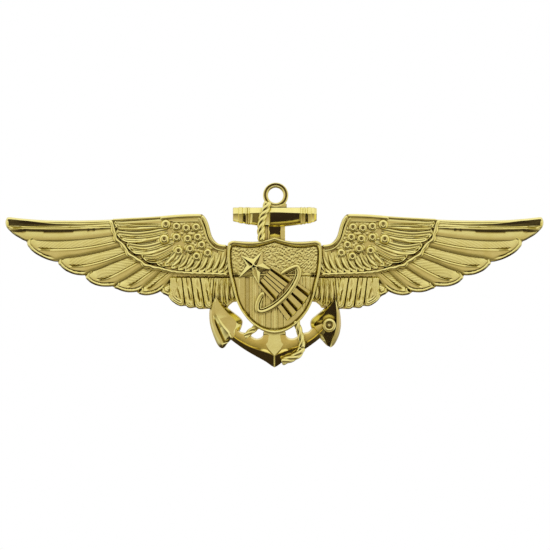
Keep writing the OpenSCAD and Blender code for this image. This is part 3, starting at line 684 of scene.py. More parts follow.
def covert_feathers():
    """The covering feathers and their raised border."""
    build = Build()
    high = 1.93
    # Each long covert's hidden upper side, tip, under edge and shaft.
    rows = [
        ([(14.0, 5.2), (17.0, 5.05), (19.5, 5.0), (20.95, 5.05)],
         [(21.08, 4.85), (20.95, 4.5), (20.65, 4.1), (20.2, 3.85)],
         [(19.0, 3.82), (17.0, 3.84), (15.0, 4.0), (13.6, 4.2)],
         [(20.5, 4.55), (18.0, 4.55), (15.0, 4.65)]),
        ([(14.0, 4.3), (17.0, 4.15), (19.5, 4.1), (20.6, 4.0)],
         [(20.78, 3.5), (20.6, 3.1), (20.2, 2.65), (19.7, 2.3), (19.1, 2.15)],
         [(18.0, 2.12), (16.5, 2.3), (15.0, 2.65), (13.8, 3.1)],
         [(20.2, 3.2), (18.0, 3.0), (16.0, 3.2), (14.6, 3.5)]),
        ([(13.2, 3.2), (15.5, 2.7), (17.5, 2.4), (19.2, 2.4)],
         [(19.4, 1.85), (19.2, 1.45), (18.8, 1.05), (18.4, 0.75), (17.9, 0.58)],
         [(16.8, 0.55), (15.6, 0.75), (14.3, 1.15), (12.9, 2.0)],
         [(18.8, 1.6), (17.0, 1.35), (15.5, 1.6), (13.8, 2.2)]),
        ([(12.6, 2.2), (14.5, 1.4), (16.0, 0.9), (17.4, 0.9)],
         [(17.45, 0.4), (17.2, 0.05), (16.8, -0.3), (16.3, -0.5), (15.6, -0.58)],
         [(15.0, -0.5), (14.2, -0.1), (13.4, 0.3), (12.4, 1.0)],
         [(16.9, 0.2), (15.6, 0.1), (14.5, 0.5), (13.2, 1.2)]),
        ([(12.2, 1.2), (13.4, 0.5), (14.6, 0.0), (15.4, -0.1)],
         [(15.5, -0.5), (15.2, -0.85), (14.7, -1.02), (14.1, -1.0)],
         [(13.4, -0.75), (12.7, -0.3), (12.0, 0.2), (11.6, 0.6)],
         [(14.9, -0.45), (13.8, -0.2), (12.8, 0.4)]),
    ]
    for k, (upper, tips, under, quill) in enumerate(rows):
        root = 0.5 * (np.array(upper[0]) + np.array(under[-1]))
        feather(build, upper + tips + under, (tips[1], root), high - 0.03 * k, quill, upper=26,
                hidden=len(upper) - 1, tilt=0.2, wall=0.42, wall_wide=(0.2, 0.26), rim=0.05, rim_wide=0.26,
                rim_long=3.0, lines=(0.52, 0.11))
    # The tip and the root of each small feather that fans out over the hem.
    fan = [
        ((14.4, -0.85), (12.6, 1.2)), ((13.55, -1.18), (11.75, 0.95)), ((12.65, -1.42), (10.95, 0.85)),
        ((11.75, -1.58), (10.1, 0.85)), ((10.85, -1.7), (9.25, 0.9)), ((9.95, -1.76), (8.45, 1.0)),
        ((9.05, -1.8), (7.65, 1.15)), ((8.2, -1.84), (6.85, 1.3)), ((7.4, -1.88), (6.1, 1.4)),
        ((6.65, -1.92), (5.4, 1.4)), ((5.95, -1.95), (4.8, 1.3)),
    ]
    for k, (tip, root) in enumerate(fan):
        tip, root = np.array(tip), np.array(root)
        lean = 0.45 * root + 0.55 * tip + (-0.36, -0.1)
        outline, axis = blade(tip, lean, root, 0.62 - 0.01 * k)
        quill = [0.8 * tip + 0.2 * lean, lean, root]
        feather(build, outline, axis, 1.95 - 0.02 * (k % 2), quill, upper=12, steps=80,
                ribs=(0.4 + 0.04 * (k % 3), 0.07), wobble=k)
    hem = resampled(smooth_curve([(15.3, -1.0), (14.5, -1.22), (13.4, -1.5), (12.0, -1.66), (10.5, -1.74),
                                  (9.0, -1.78), (7.5, -1.84), (6.1, -1.9)], 8), 110)
    at = along(hem)
    lumps = 0.6 * np.cos(2 * math.pi * at / 0.92) + 0.4 * np.cos(2 * math.pi * at / 0.53 + 1)
    build.strip(hem + side_of(hem) * (0.05 * lumps)[:, None], 0.42 + 0.06 * lumps, 2.0, 0.5, crown=0.2,
                rows=8)
    border = smooth_curve([(21.3, 5.15), (21.15, 4.5), (20.98, 4.0), (20.85, 3.4), (20.7, 2.85),
                           (20.25, 2.3), (19.75, 1.95), (19.4, 1.35), (19.1, 0.9), (18.6, 0.45),
                           (18.0, 0.15), (17.45, -0.25), (16.95, -0.62), (16.3, -0.85), (15.4, -1.05),
                           (14.6, -1.25)], 6)
    border = resampled(border, 120)
    lumps = np.cos(2 * math.pi * along(border) / 1.28)
    build.strip(border + side_of(border) * (0.06 * lumps)[:, None], 0.54 + 0.08 * lumps, 2.08, 0.5,
                crown=0.3, rows=10)
    return build


def tertial_feathers():
    """The hanging feathers below the hem: four broad lobes, then six that slant in to the shield."""
    build = Build()
    # Each lobe's outline, drawn upright.
    lobes = [
        [(13.62, -1.9), (13.64, -3.6), (13.62, -4.75), (13.38, -5.28), (13.0, -5.64), (12.6, -5.9),
         (12.2, -6.02), (11.85, -5.95), (11.66, -5.6), (11.6, -4.9), (11.55, -1.9)],
        [(11.66, -1.9), (11.66, -5.5), (11.52, -5.98), (11.28, -6.22), (10.98, -6.28), (10.66, -6.22),
         (10.42, -5.95), (10.36, -5.4), (10.4, -1.9)],
        [(10.46, -1.9), (10.42, -5.6), (10.28, -6.08), (10.05, -6.32), (9.75, -6.4), (9.42, -6.34),
         (9.16, -6.08), (9.1, -5.5), (9.2, -1.9)],
        [(9.26, -1.9), (9.16, -5.6), (9.02, -6.05), (8.8, -6.3), (8.5, -6.36), (8.2, -6.28), (7.96, -6.0),
         (7.92, -5.4), (8.1, -1.9)],
    ]
    for k, outline in enumerate(lobes):
        outline = [(x + LOBE_LEAN * (z + 6.0) * (1 if x < 13 or z < -4.0 else 0.2), z) for x, z in outline]
        low = min(outline, key=lambda c: c[1])
        x = 0.5 * (outline[0][0] + outline[-1][0])
        axis = low, (0.3 * low[0] + 0.7 * x, ROOT_Z)
        quill = [(low[0], low[1] + 0.7), (0.5 * (low[0] + x), -4.0), (x, ROOT_Z)]
        feather(build, outline, axis, 1.56, quill, upper=18, wall_wide=(0.18, 0.09), rim_long=1.3,
                ribs=((0.28, 0.25, 0.29, 0.26)[k], 0.06), wobble=k, extra=under_hem)
    # Each slanting feather's tip, the point its spine leans to, and its root.
    slant = [
        ((8.35, -6.2), (8.5, -4.4), (8.15, -1.8)),
        ((7.6, -5.9), (7.8, -4.2), (7.45, -1.8)),
        ((6.9, -6.1), (7.15, -4.0), (6.85, -1.8)),
        ((6.2, -6.0), (6.5, -3.9), (6.25, -1.7)),
        ((5.55, -5.45), (5.9, -3.8), (5.75, -1.7)),
        ((5.0, -5.3), (5.35, -3.6), (5.3, -1.7)),
    ]
    for k, (tip, lean, root) in enumerate(slant):
        outline, axis = blade(tip, lean, root, 0.42)
        feather(build, outline, axis, 1.52 + 0.05 * (k % 2), [tip, lean, root], upper=10, steps=90,
                wall_wide=(0.2, 0.12), rim_wide=0.18, rim_long=1.0, ribs=(0.3 + 0.05 * (k % 2), 0.07),
                wobble=k, extra=under_hem)
    return build


def shoulder():
    """The scales, the smooth leading bar and the double rim that runs down to the shield."""
    build = Build()
    for k, (x, z, r) in enumerate(SCALES):
        profile = [(0, 1.7), (0.08, 1.7), (0.12, 1.84), (0.155, 2.02), (0.2, 2.1), (0.27, 2.14),
                   (0.35, 2.14), (0.44, 2.11), (0.52, 2.05), (r, 1.95), (r + 0.05, 1.84), (r + 0.07, 1.7),
                   (r + 0.07, 1.0), (0, 1.0)]
        build.turned((x, z), profile)
        wide = r + 0.26
        petal = [(0, 1.86), (r, 1.86), (wide - 0.3, 1.84), (wide - 0.15, 1.77), (wide - 0.04, 1.66),
                 (wide, 1.5), (wide, 1.0), (0, 1.0)]
        petal = [(q, h - 0.02 * (k % 3) if h > 1.5 else h) for q, h in petal]
        build.turned((x + 0.1, z + 0.06), petal, 40)
    edge = resampled(smooth_curve([(x + 0.5, z - 0.3) for x, z in SHOULDER[:8]], 8), 90)
    far = np.stack([np.linspace(15.0, 9.0, 91), np.linspace(5.55, -0.6, 91)], 1)
    shares = np.linspace(0, 1, 91)[None, :, None]
    ground = edge[:, None, :] * (1 - shares) + far[:, None, :] * shares
    grains = scattered(ground[..., 0], ground[..., 1], 0.44, 0.5)
    build.relief(ground, 1.78 + 0.05 * grains, 1.2)
    build.plate([(9.4, 5.1), (14.4, 5.05), (14.4, 5.55), (9.4, 5.6)], 1.2, 1.88)
    bar = smooth_curve([(9.5, 5.72), (11.0, 5.7), (12.6, 5.62), (14.1, 5.5), (14.9, 5.42)], 10)
    build.strip(bar, 0.56, 2.06, 0.3, crown=0.22, rows=12)
    thin = smooth_curve([(13.2, 5.68), (14.0, 5.62), (16.0, 5.47), (18.5, 5.35), (21.2, 5.2)], 10)
    build.strip(thin, 0.3, 1.98, 0.3, crown=0.2, rows=8)
    lower = smooth_curve([(9.9, 5.05), (11.5, 5.02), (13.3, 4.98)], 10)
    build.strip(lower, 0.26, 1.92, 1.0, crown=0.14, rows=8)
    rim = smooth_curve([(x + 0.22, z - 0.12) for x, z in SHOULDER], 8)
    rim[:, 0] = np.maximum(rim[:, 0], 5.9)
    build.strip(rim, 0.44, 2.08, 0.3, crown=0.26, rows=10)
    inner = smooth_curve([(x + 0.7 - 0.028 * k, z - 0.28 - 0.045 * k)
                          for k, (x, z) in enumerate(SHOULDER)], 8)
    build.strip(inner, 0.34, 1.98, 1.0, crown=0.18, rows=8)
    for k in range(3):
        start = np.array((9.9 - 0.32 * k, 4.75 + 0.02 * k))
        fan = np.array([start, start + (-0.35, -0.65), start + (-0.5, -1.5), start + (-0.45, -2.4)])
        build.strip(smooth_curve(fan, 6), 0.16, 1.78, 1.2, crown=0.12, rows=6)
    return build


for side in ("left", "right"):
    for label, maker in (("outer_feathers", outer_feathers), ("inner_feathers", inner_feathers),
                         ("wing_plate", wing_plate), ("covert_feathers", covert_feathers),
                         ("tertial_feathers", tertial_feathers), ("shoulder", shoulder)):
        piece = maker().object(f"{side}_{label}", mirror=side == "left")
        place(piece, GOLD, "polished_gold", f"{side}_wing")

# ---------------------------------------------------------------------------
# Shield
# ---------------------------------------------------------------------------

# Right halves of the shield's outline and of its field's, from the top middle to the bottom middle.
SHIELD_TOP = [(0.0, 2.95), (0.9, 2.66), (2.0, 2.44), (3.0, 2.38), (4.2, 2.42), (5.2, 2.5), (5.7, 2.48)]
SHIELD_SIDE = [(5.95, 2.3), (6.1, 1.9), (6.16, 0.8), (6.12, -0.4), (5.95, -1.6), (5.7, -2.6), (5.4, -3.8),
               (5.1, -4.9), (4.75, -5.8), (4.3, -6.65), (3.6, -7.6), (2.8, -8.4), (1.9, -9.02),
               (0.9, -9.45), (0.0, -9.62)]
FIELD_TOP = [(0.0, 2.36), (0.8, 2.1), (1.6, 1.85), (2.5, 1.66), (3.5, 1.6), (4.5, 1.7), (5.2, 1.86)]
FIELD_SIDE = [(5.5, 1.72), (5.66, 1.2), (5.66, 0.4), (5.6, -0.5), (5.45, -1.5), (5.25, -2.4), (4.98, -3.6),
              (4.7, -4.9), (4.35, -5.8), (3.85, -6.65), (3.2, -7.45), (2.5, -8.1), (1.7, -8.62),
              (0.8, -8.92), (0.0, -9.0)]
FIELD_HIGH = 2.15
RIM_HIGH = 2.5
# The bar between the stippled and the striped ground: its upper and its lower edge.
BAR_Z = (-1.72, -2.08)
# The wide dark stripe: its two sides and its depth. Then the middle and the depth of each fine one.
TRENCH_LEFT, TRENCH_RIGHT, TRENCH_DEEP = -3.84, -3.2, 0.5
STRIPES = [(-4.6, 0.04), (-2.86, 0.08), (-2.5, 0.04), (-1.97, 0.09), (-1.6, 0.05), (-1.17, 0.09),
           (-0.8, 0.05), (-0.43, 0.1), (0.05, 0.05), (0.43, 0.09), (0.8, 0.05), (1.17, 0.09), (3.6, 0.05),
           (3.97, 0.08), (4.35, 0.05), (4.65, 0.08)]


def whole(half):
    """A half outline from the top middle to the bottom middle, closed by its mirror image."""
    half = np.asarray(half)
    return np.vstack([half, half[-2:0:-1] * (-1, 1)])


def band(build, outer, inner, profile, floor):
    """A closed band between two outlines of equal count; profile gives (share across, height)."""
    rows = []
    for share, h in [(0.0, floor)] + profile + [(1.0, floor)]:
        rows.append(np.insert(outer * (1 - share) + inner * share, 1, h, axis=1))
    points = np.stack(rows, 1)
    n, m = points.shape[:2]
    build.add(points.reshape(-1, 3), quads(n, m, across=True, around=True))


def half_outline(top, side):
    """Half an outline through a top and a side, as evenly spaced points."""
    top, side = smooth_curve(top, 6), smooth_curve(side, 6)
    return np.vstack([resampled(top, 40)[:-1], resampled(side, 90)])


def shield():
    """A rolled border about a field that is stippled above a bar and lined with stripes below it."""
    build = Build()
    outer, inner = half_outline(SHIELD_TOP, SHIELD_SIDE), half_outline(FIELD_TOP, FIELD_SIDE)
    rim = [(0.0, RIM_HIGH - 0.32), (0.03, RIM_HIGH - 0.12), (0.1, RIM_HIGH - 0.04), (0.22, RIM_HIGH),
           (0.38, RIM_HIGH), (0.5, RIM_HIGH - 0.03), (0.62, RIM_HIGH - 0.09), (0.72, RIM_HIGH - 0.17),
           (0.82, RIM_HIGH - 0.28), (0.92, FIELD_HIGH - 0.12), (1.02, FIELD_HIGH - 0.16)]
    band(build, whole(outer), whole(inner), rim, 1.0)
    build.plate(whole(outer)[::2], 0.99, 1.25)

    bulge = int(np.argmax(inner[:, 0]))
    above, below = inner[:bulge + 1], inner[bulge:][::-1]
    columns = np.concatenate([np.linspace(0, 5.2, 95), np.linspace(5.2, 5.62, 16)[1:]])
    high = np.interp(columns, above[:, 0], above[:, 1])
    low = np.interp(columns, below[:, 0], below[:, 1])
    columns, high, low = (np.concatenate([sign * half[:0:-1], half])
                          for sign, half in ((-1, columns), (1, high), (1, low)))
    v = np.linspace(0, 1, 261)
    x = np.repeat(columns[:, None], len(v), 1)
    z = high[:, None] + (low - high)[:, None] * v[None, :]

    stippled = ease((z - BAR_Z[0]) / 0.06)
    striped = ease((BAR_Z[1] - 0.08 - z) / 0.08)
    h = FIELD_HIGH - 0.04 + 0.038 * stipple(x, z) * stippled
    h += 0.13 * ease((z - BAR_Z[1]) / 0.1) * ease((BAR_Z[0] - z) / 0.1)
    h -= 0.05 * hump((z - BAR_Z[1] + 0.06) / 0.07)
    h -= TRENCH_DEEP * ease((x - TRENCH_LEFT) / 0.06) * ease((TRENCH_RIGHT - x) / 0.12) * striped
    for at, deep in STRIPES:
        h -= deep * hump((x - at) / 0.07) * striped
    flat = np.dstack([x, z])
    h -= 0.12 * hump(away(flat, whole(inner)) / 0.1)
    h -= 0.4 * inside(flat, RAY_GROUND)
    build.relief(flat, h, 1.2)
    return build


# ---------------------------------------------------------------------------
# Shooting star and orbit
# ---------------------------------------------------------------------------

# The star's middle, its tips and the corners between them.
STAR_AT = np.array((-2.69, -0.95))
STAR_TIPS = np.array([(-1.56, 1.14), (-4.42, 0.62), (-4.66, -2.32), (-2.02, -3.2), (-0.5, -1.22)])
STAR_WAIST = np.array([(-2.8, 0.12), (-3.6, -0.7), (-2.9, -1.72), (-1.85, -1.6), (-1.5, -0.4)])
# The rays start along one line and end at another. Shares of the two lines mark each bar's sides.
RAY_NEAR = np.array([(-0.35, -0.9), (-2.25, -3.1)])
RAY_FAR = np.array([(2.3, -2.55), (-0.25, -5.4)])
RAY_SHARES = [(0.0, 0.07, 0.0, 0.07), (0.17, 0.31, 0.2, 0.33), (0.345, 0.46, 0.36, 0.48),
              (0.495, 0.61, 0.51, 0.63), (0.645, 0.79, 0.66, 0.8), (0.9, 1.0, 0.91, 1.0)]
# The blocks beyond the orbit: two near corners, then two far ones.
RAY_BLOCKS = [
    ((2.35, -2.55), (2.2, -2.75), (4.68, -4.1), (4.48, -4.42)),
    ((2.3, -3.2), (1.75, -3.75), (4.3, -4.85), (3.85, -5.5)),
    ((1.75, -4.05), (1.3, -4.5), (3.6, -5.85), (3.15, -6.4)),
    ((1.2, -4.85), (0.8, -5.2), (2.85, -6.72), (2.42, -7.2)),
    ((0.6, -5.5), (0.2, -5.85), (2.12, -7.45), (1.68, -7.88)),
]
# Where the shield's field is lowered under the rays.
RAY_GROUND = [(-0.4, -1.0), (2.4, -2.6), (4.62, -4.2), (4.4, -4.8), (3.95, -5.5), (3.6, -5.9),
              (3.15, -6.45), (2.8, -6.8), (2.4, -7.25), (2.0, -7.6), (1.65, -7.85), (0.2, -5.9),
              (-2.15, -3.1)]
ORBIT_OUTSIDE = [(0.75, -1.72), (1.3, -1.32), (2.18, -0.86), (3.0, -0.68), (3.38, -1.3), (3.34, -2.1),
                 (2.95, -3.05), (2.45, -3.9), (1.78, -4.75), (1.0, -5.5), (0.17, -6.15), (-0.55, -6.58),
                 (-1.23, -6.87), (-1.85, -6.95), (-2.32, -6.72), (-2.48, -6.25), (-2.42, -5.6),
                 (-2.05, -4.7), (-1.55, -4.1)]


def star():
    """Five flat arms with steep sides and a dark groove cut along each but the lowest."""
    build = Build()
    peak, low, top = 2.8, FIELD_HIGH - 0.3, 2.5
    shares = (0.0, 0.2, 0.4, 0.6, 0.8, 1.0)
    for k, tip in enumerate(STAR_TIPS):
        go = (tip - STAR_AT) / np.linalg.norm(tip - STAR_AT)
        across = np.array([-go[1], go[0]])
        deep = 0.03 if k == 3 else 0.55
        for corner in (STAR_WAIST[k], STAR_WAIST[k - 1]):
            out = across if (corner - STAR_AT) @ across > 0 else -across
            centre, lip = [], []
            for t in shares:
                keep = 1 - ease((t - 0.15) / 0.8)
                at = STAR_AT + (tip - STAR_AT) * t
                h = peak + (top - peak) * t
                shoulder_at = at + out * (0.22 * keep + 0.004)
                centre.append((at[0], h - deep * keep, at[1]))
                lip.append((shoulder_at[0], h, shoulder_at[1]))
            m = len(shares)
            push = 0.08 * (corner - STAR_AT) / np.linalg.norm(corner - STAR_AT)
            foot, end = corner + push, tip + go * 0.1
            points = centre + lip + [(corner[0], top, corner[1]), (foot[0], low, foot[1]),
                                     (end[0], low, end[1]), (STAR_AT[0], low, STAR_AT[1])]
            c, f, e, o = 2 * m, 2 * m + 1, 2 * m + 2, 2 * m + 3
            faces = []
            for i in range(m - 1):
                faces.append((i, i + 1, m + i + 1, m + i))
                faces.append((m + i, m + i + 1, c))
            faces += [(c, 2 * m - 1, e, f), (m - 1, e, 2 * m - 1), (0, m, c, f, o),
                      tuple(range(m)) + (e, o), (f, e, o)]
            build.add(points, faces)
    return build


def bar(build, near0, near1, far0, far1, high, bevel):
    """A flat bar between two slots, given by its corners, with bevelled edges."""
    corners = np.array([near0, near1, far1, far0], float)
    lean = corners - corners.mean(0)
    lean = lean / np.linalg.norm(lean, axis=1)[:, None]
    rings = ((corners, 1.6), (corners, high - 0.1), (corners - lean * bevel, high))
    build.skin([np.insert(flat, 1, h, axis=1) for flat, h in rings])


def slot(build, near0, near1, far0, far1):
    """The sloping floor of a slot between two bars, deepest along its lower side."""
    high, slope = 2.22, 0.75
    corners = np.array([near0, near1, far1, far0], float)
    drop = slope * np.linalg.norm(corners[[1, 2]] - corners[[0, 3]], axis=1)
    tops = (high, high - drop[0], high - drop[1], high)
    build.skin([np.insert(corners, 1, h, axis=1) for h in (1.5, tops)])


def rays():
    """Six bars inside the orbit and five blocks beyond it, with slots between them."""
    build = Build()
    near0, near1 = RAY_NEAR
    far0, far1 = RAY_FAR
    bars = []
    for a0, a1, b0, b1 in RAY_SHARES:
        bars.append([near0 + (near1 - near0) * a for a in (a0, a1)]
                    + [far0 + (far1 - far0) * b for b in (b0, b1)])
    for k, corners in enumerate(bars):
        bar(build, *corners, 2.44 if k in (0, len(bars) - 1) else 2.36, bevel=0.05)
    for corners in RAY_BLOCKS:
        bar(build, *corners, 2.4, bevel=0.09)
    for row in (bars, RAY_BLOCKS):
        for (_, near_end, _, far_end), (near_start, _, far_start, _) in zip(row[:-1], row[1:]):
            slot(build, near_end, near_start, far_end, far_start)
    return build


def orbit():
    """A raised band, a groove and a thin ridge inside it, open where it passes behind the rays."""
    build = Build()
    outside = resampled(smooth_curve(ORBIT_OUTSIDE, 8), 170)
    build.strip(offset(outside, -0.19), 0.5, 2.68, FIELD_HIGH - 0.3, crown=0.15, rows=10)
    build.strip(offset(outside, -0.62)[8:-8], 0.18, 2.5, FIELD_HIGH - 0.3, crown=0.14, rows=6)
    return build


# ---------------------------------------------------------------------------
# Anchor, ring and rope
# ---------------------------------------------------------------------------

# The right arm's lower edge, its ridge and its upper edge, from the middle outwards.
ARM_LOW = [(0.0, -14.0), (0.45, -13.75), (1.2, -13.22), (2.5, -12.5), (4.0, -11.6), (5.4, -10.6),
           (6.15, -9.95), (6.6, -9.45)]
ARM_RIDGE = [(0.0, -12.42), (0.6, -12.12), (2.0, -11.68), (3.5, -11.15), (5.0, -10.25), (6.05, -9.3),
             (6.5, -8.8)]
ARM_TOP = [(0.0, -9.3), (1.38, -9.35), (1.45, -9.75), (1.8, -10.12), (2.3, -10.24), (2.75, -10.1),
           (3.35, -9.7), (3.9, -9.48), (4.5, -9.3), (5.2, -8.5), (6.2, -8.2)]


def arms():
    """Two arms with a dark lower facet, a ridge and a hollowed upper one."""
    build = Build()
    count = 60
    for flip in (1, -1):
        low, ridge, top = (resampled(smooth_curve(line, 8), count) * (flip, 1)
                           for line in (ARM_LOW, ARM_RIDGE, ARM_TOP))
        rise = 1.98 - 0.08 * np.linspace(0, 1, count + 1)
        fall = 0.28 * np.hypot(*(ridge - low).T)
        lower = [low + share * (ridge - low) for share in (0, 0.03, 0.93, 1)]
        upper = [ridge + share * (top - ridge) for share in (0.12, 0.5, 0.84, 1)]
        drops = (0.24 + fall, 0.1 + fall, 0.1, 0.0, 0.2, 0.13, 0.16, 0.75)
        build.loft(lower + upper, [rise - drop for drop in drops], ARMS_BACK)
    return build


def crown():
    """The kite of two facets at the foot of the shank, where the arms meet."""
    build = Build()
    half = [(1.4, -9.2, 1.55), (1.42, -10.5, 1.74), (0.75, -11.65, 1.92)]
    foot = [(-x, z, h) for x, z, h in half] + [(0.0, -12.45, 2.2)] + half[::-1]
    n = len(foot)
    points = [(x, h, z) for x, z, h in foot] + [(0.0, 1.9, -9.2)] + [(x, 0.4, z) for x, z, h in foot]
    low = n + 1
    faces = [(n, k, k + 1) for k in range(n - 1)]
    faces += [(k, low + k, low + k + 1, k + 1) for k in range(n - 1)]
    faces += [(0, n, n - 1, low + n - 1, low), tuple(range(low, low + n))]
    build.add(points, faces)
    return build


# Lines along each fluke, from its outer edge across to its inner one. Each goes with its heights at
# its upper and its lower end, or with None where it lies in the hollow.
LEFT_LINES = [
    ([(-7.72, -4.7), (-8.22, -5.5), (-8.5, -6.7), (-8.46, -8.1), (-8.1, -9.5), (-7.5, -10.95),
      (-7.0, -11.48), (-6.55, -11.42), (-6.12, -10.85)], (0.75, 0.75)),
    ([(-7.7, -4.71), (-8.18, -5.55), (-8.44, -6.7), (-8.4, -8.1), (-8.03, -9.5), (-7.43, -10.88),
      (-6.98, -11.38), (-6.6, -11.33), (-6.08, -10.81)], (1.3, 1.3)),
    ([(-7.67, -4.73), (-8.0, -5.7), (-8.2, -6.8), (-8.12, -8.0), (-7.72, -9.4), (-7.15, -10.6),
      (-6.9, -11.0), (-6.72, -11.0), (-5.96, -10.68)], (1.88, 1.88)),
    ([(-7.66, -4.74), (-7.9, -5.8), (-8.0, -6.9), (-7.82, -8.0), (-7.38, -9.2), (-6.9, -10.3),
      (-6.72, -10.7), (-6.6, -10.8), (-5.91, -10.63)], (1.9, 1.84)),
    ([(-7.65, -4.745), (-7.84, -5.8), (-7.9, -6.9), (-7.66, -8.05), (-7.22, -9.15), (-6.75, -10.2),
      (-6.55, -10.6), (-6.45, -10.7), (-5.86, -10.57)], (1.88, 1.5)),
    ([(-7.64, -4.75), (-7.78, -5.8), (-7.78, -6.9), (-7.45, -8.0), (-6.98, -8.9), (-6.45, -9.7),
      (-6.25, -10.1), (-6.15, -10.3), (-5.72, -10.43)], (1.88, 1.84)),
    ([(-7.63, -4.755), (-7.72, -5.9), (-7.6, -7.0), (-7.2, -7.9), (-6.7, -8.7), (-6.2, -9.3),
      (-6.0, -9.55), (-5.9, -9.8), (-5.57, -10.26)], (1.9, 1.98)),
    ([(-7.62, -4.76), (-7.66, -5.9), (-7.48, -6.95), (-7.05, -7.8), (-6.55, -8.5), (-6.05, -9.1),
      (-5.85, -9.35), (-5.75, -9.6), (-5.5, -10.19)], (1.88, 1.86)),
    ([(-7.56, -4.8), (-7.1, -5.75), (-6.45, -6.5), (-5.75, -7.25), (-5.1, -7.85), (-4.95, -8.3),
      (-5.1, -8.85), (-5.3, -9.25), (-5.2, -9.87)], (1.86, 1.86)),
    ([(-7.5, -4.84), (-6.85, -5.55), (-6.15, -6.25), (-5.35, -6.9), (-4.6, -7.5), (-4.25, -7.95),
      (-4.3, -8.5), (-4.6, -9.1), (-4.89, -9.55)], (1.25, 1.35)),
    ([(-7.48, -4.85), (-6.8, -5.5), (-6.08, -6.2), (-5.28, -6.85), (-4.52, -7.45), (-4.17, -7.93),
      (-4.22, -8.5), (-4.5, -9.2), (-4.8, -9.45)], (0.7, 0.7)),
]
RIGHT_LINES = [
    ([(7.95, -4.9), (8.25, -5.6), (8.5, -6.5), (8.64, -7.5), (8.68, -8.5), (8.52, -9.5), (8.22, -10.3),
      (7.8, -11.05), (7.35, -11.42)], (0.75, 0.75)),
    ([(7.94, -4.91), (8.2, -5.65), (8.44, -6.5), (8.57, -7.5), (8.6, -8.5), (8.45, -9.45), (8.15, -10.22),
      (7.75, -10.95), (7.33, -11.41)], (1.3, 1.3)),
    ([(7.93, -4.92), (8.12, -5.75), (8.3, -6.6), (8.38, -7.5), (8.4, -8.5), (8.25, -9.35), (7.97, -10.1),
      (7.62, -10.7), (7.29, -11.39)], (1.86, 1.86)),
    ([(7.92, -4.93), (8.0, -5.9), (8.08, -6.8), (8.1, -7.6), (8.06, -8.5), (7.92, -9.2), (7.75, -9.8),
      (7.5, -10.3), (7.23, -11.36)], (1.92, 1.92)),
    ([(7.91, -4.935), (7.97, -5.9), (8.03, -6.8), (8.04, -7.6), (8.0, -8.5), (7.87, -9.2), (7.7, -9.75),
      (7.45, -10.2), (7.2, -11.34)], None),
    ([(7.9, -4.94), (7.35, -5.95), (6.6, -6.85), (5.9, -7.65), (5.3, -8.4), (5.55, -8.95), (6.0, -9.5),
      (6.45, -9.95), (6.99, -11.23)], None),
    ([(7.88, -4.955), (7.28, -5.9), (6.52, -6.8), (5.8, -7.6), (5.14, -8.38), (5.4, -9.02), (5.9, -9.6),
      (6.38, -10.08), (6.93, -11.2)], (1.9, 1.9)),
    ([(7.84, -4.98), (7.2, -5.72), (6.35, -6.55), (5.5, -7.25), (4.9, -7.8), (4.78, -8.5), (5.2, -9.3),
      (6.15, -10.3), (6.81, -11.13)], (1.45, 1.5)),
    ([(7.82, -5), (7.15, -5.66), (6.28, -6.48), (5.42, -7.18), (4.8, -7.76), (4.68, -8.5), (5.1, -9.38),
      (6.08, -10.38), (6.75, -11.1)], (0.75, 0.75)),
]
# The right fluke's hollow slopes down in two stretches: the z and the height where each starts,
# and the slope.
HOLLOW_STARTS = ((-4.93, 1.94), (-8.45, 1.75))
HOLLOW_SLOPE = 0.31


def flukes():
    """Two different flukes, the right one with a hollow and a round boss."""
    build = Build()
    count = 72
    for lines in (LEFT_LINES, RIGHT_LINES):
        flat, high = [], []
        for points, ends in lines:
            line = resampled(smooth_curve(points, 8), count)
            flat.append(line)
            if ends is None:
                z = line[:, 1]
                upper, lower = (h0 + HOLLOW_SLOPE * (z - z0) for z0, h0 in HOLLOW_STARTS)
                high.append(np.where(z > HOLLOW_STARTS[1][0], upper, lower))
            else:
                share = ease((np.linspace(0, 1, count + 1) - 0.3) / 0.35)
                high.append(ends[0] + (ends[1] - ends[0]) * share)
        build.loft(flat, high, FLUKES_BACK)
    boss = [(0, 1.78), (0.14, 1.8), (0.2, 1.78), (0.27, 1.62), (0.36, 1.62), (0.42, 1.95), (0.5, 2.1),
            (0.6, 2.14), (0.74, 2.12), (0.85, 2.02), (0.91, 1.88), (0.92, 1.6), (0.92, 0.4), (0, 0.4)]
    build.turned((7.12, -8.5), boss, 40)
    return build


def shank():
    """A plain bar behind the shield and, above it, a frame about a sloping hollow."""
    build = Build()
    build.plate([(-1.38, -11.3), (1.38, -11.3), (1.38, 4.2), (-1.38, 4.2)], SHANK_BACK, 0.9)
    foot, frame_back = 1.9, 0.5
    for x0, x1 in ((-0.95, -0.62), (0.72, 1.38)):
        build.bevelled([(x0, foot), (x1, foot), (x1, 4.5), (x0, 4.5)], frame_back, 1.75, 1.85, 0.08)
    sill = [(-0.8, foot), (0.9, foot), (0.9, 3.05), (-0.8, 3.05)]
    build.bevelled(sill, frame_back, 1.56, 1.64, 0.08)
    build.plate([(-1.35, foot), (-0.9, foot), (-0.9, 4.4), (-1.35, 4.4)], frame_back, 1.7, 0.05)
    hollow = [(-0.62, 4.45), (0.72, 4.45), (0.72, 3.05), (-0.62, 3.05)]
    build.skin([np.insert(np.array(hollow), 1, h, axis=1) for h in ((2.0, 2.0, 1.55, 1.55), frame_back)])
    return build


# The stock's raised bands: each one's middle and half its width.
STOCK_BANDS = [(-4.42, 0.22), (-3.66, 0.1), (-3.34, 0.1), (3.5, 0.1), (3.92, 0.1), (4.58, 0.22)]
# Where its front is hollowed: left and right end, how softly each end starts, and the share of
# the full depth.
STOCK_HOLLOWS = [(-0.62, 3.4, 0.06, 0.06, 1.0), (-2.95, -1.9, 0.08, 0.1, 0.3),
                 (-4.06, -3.56, 0.05, 0.05, 0.7), (4.04, 4.42, 0.05, 0.05, 1.0)]
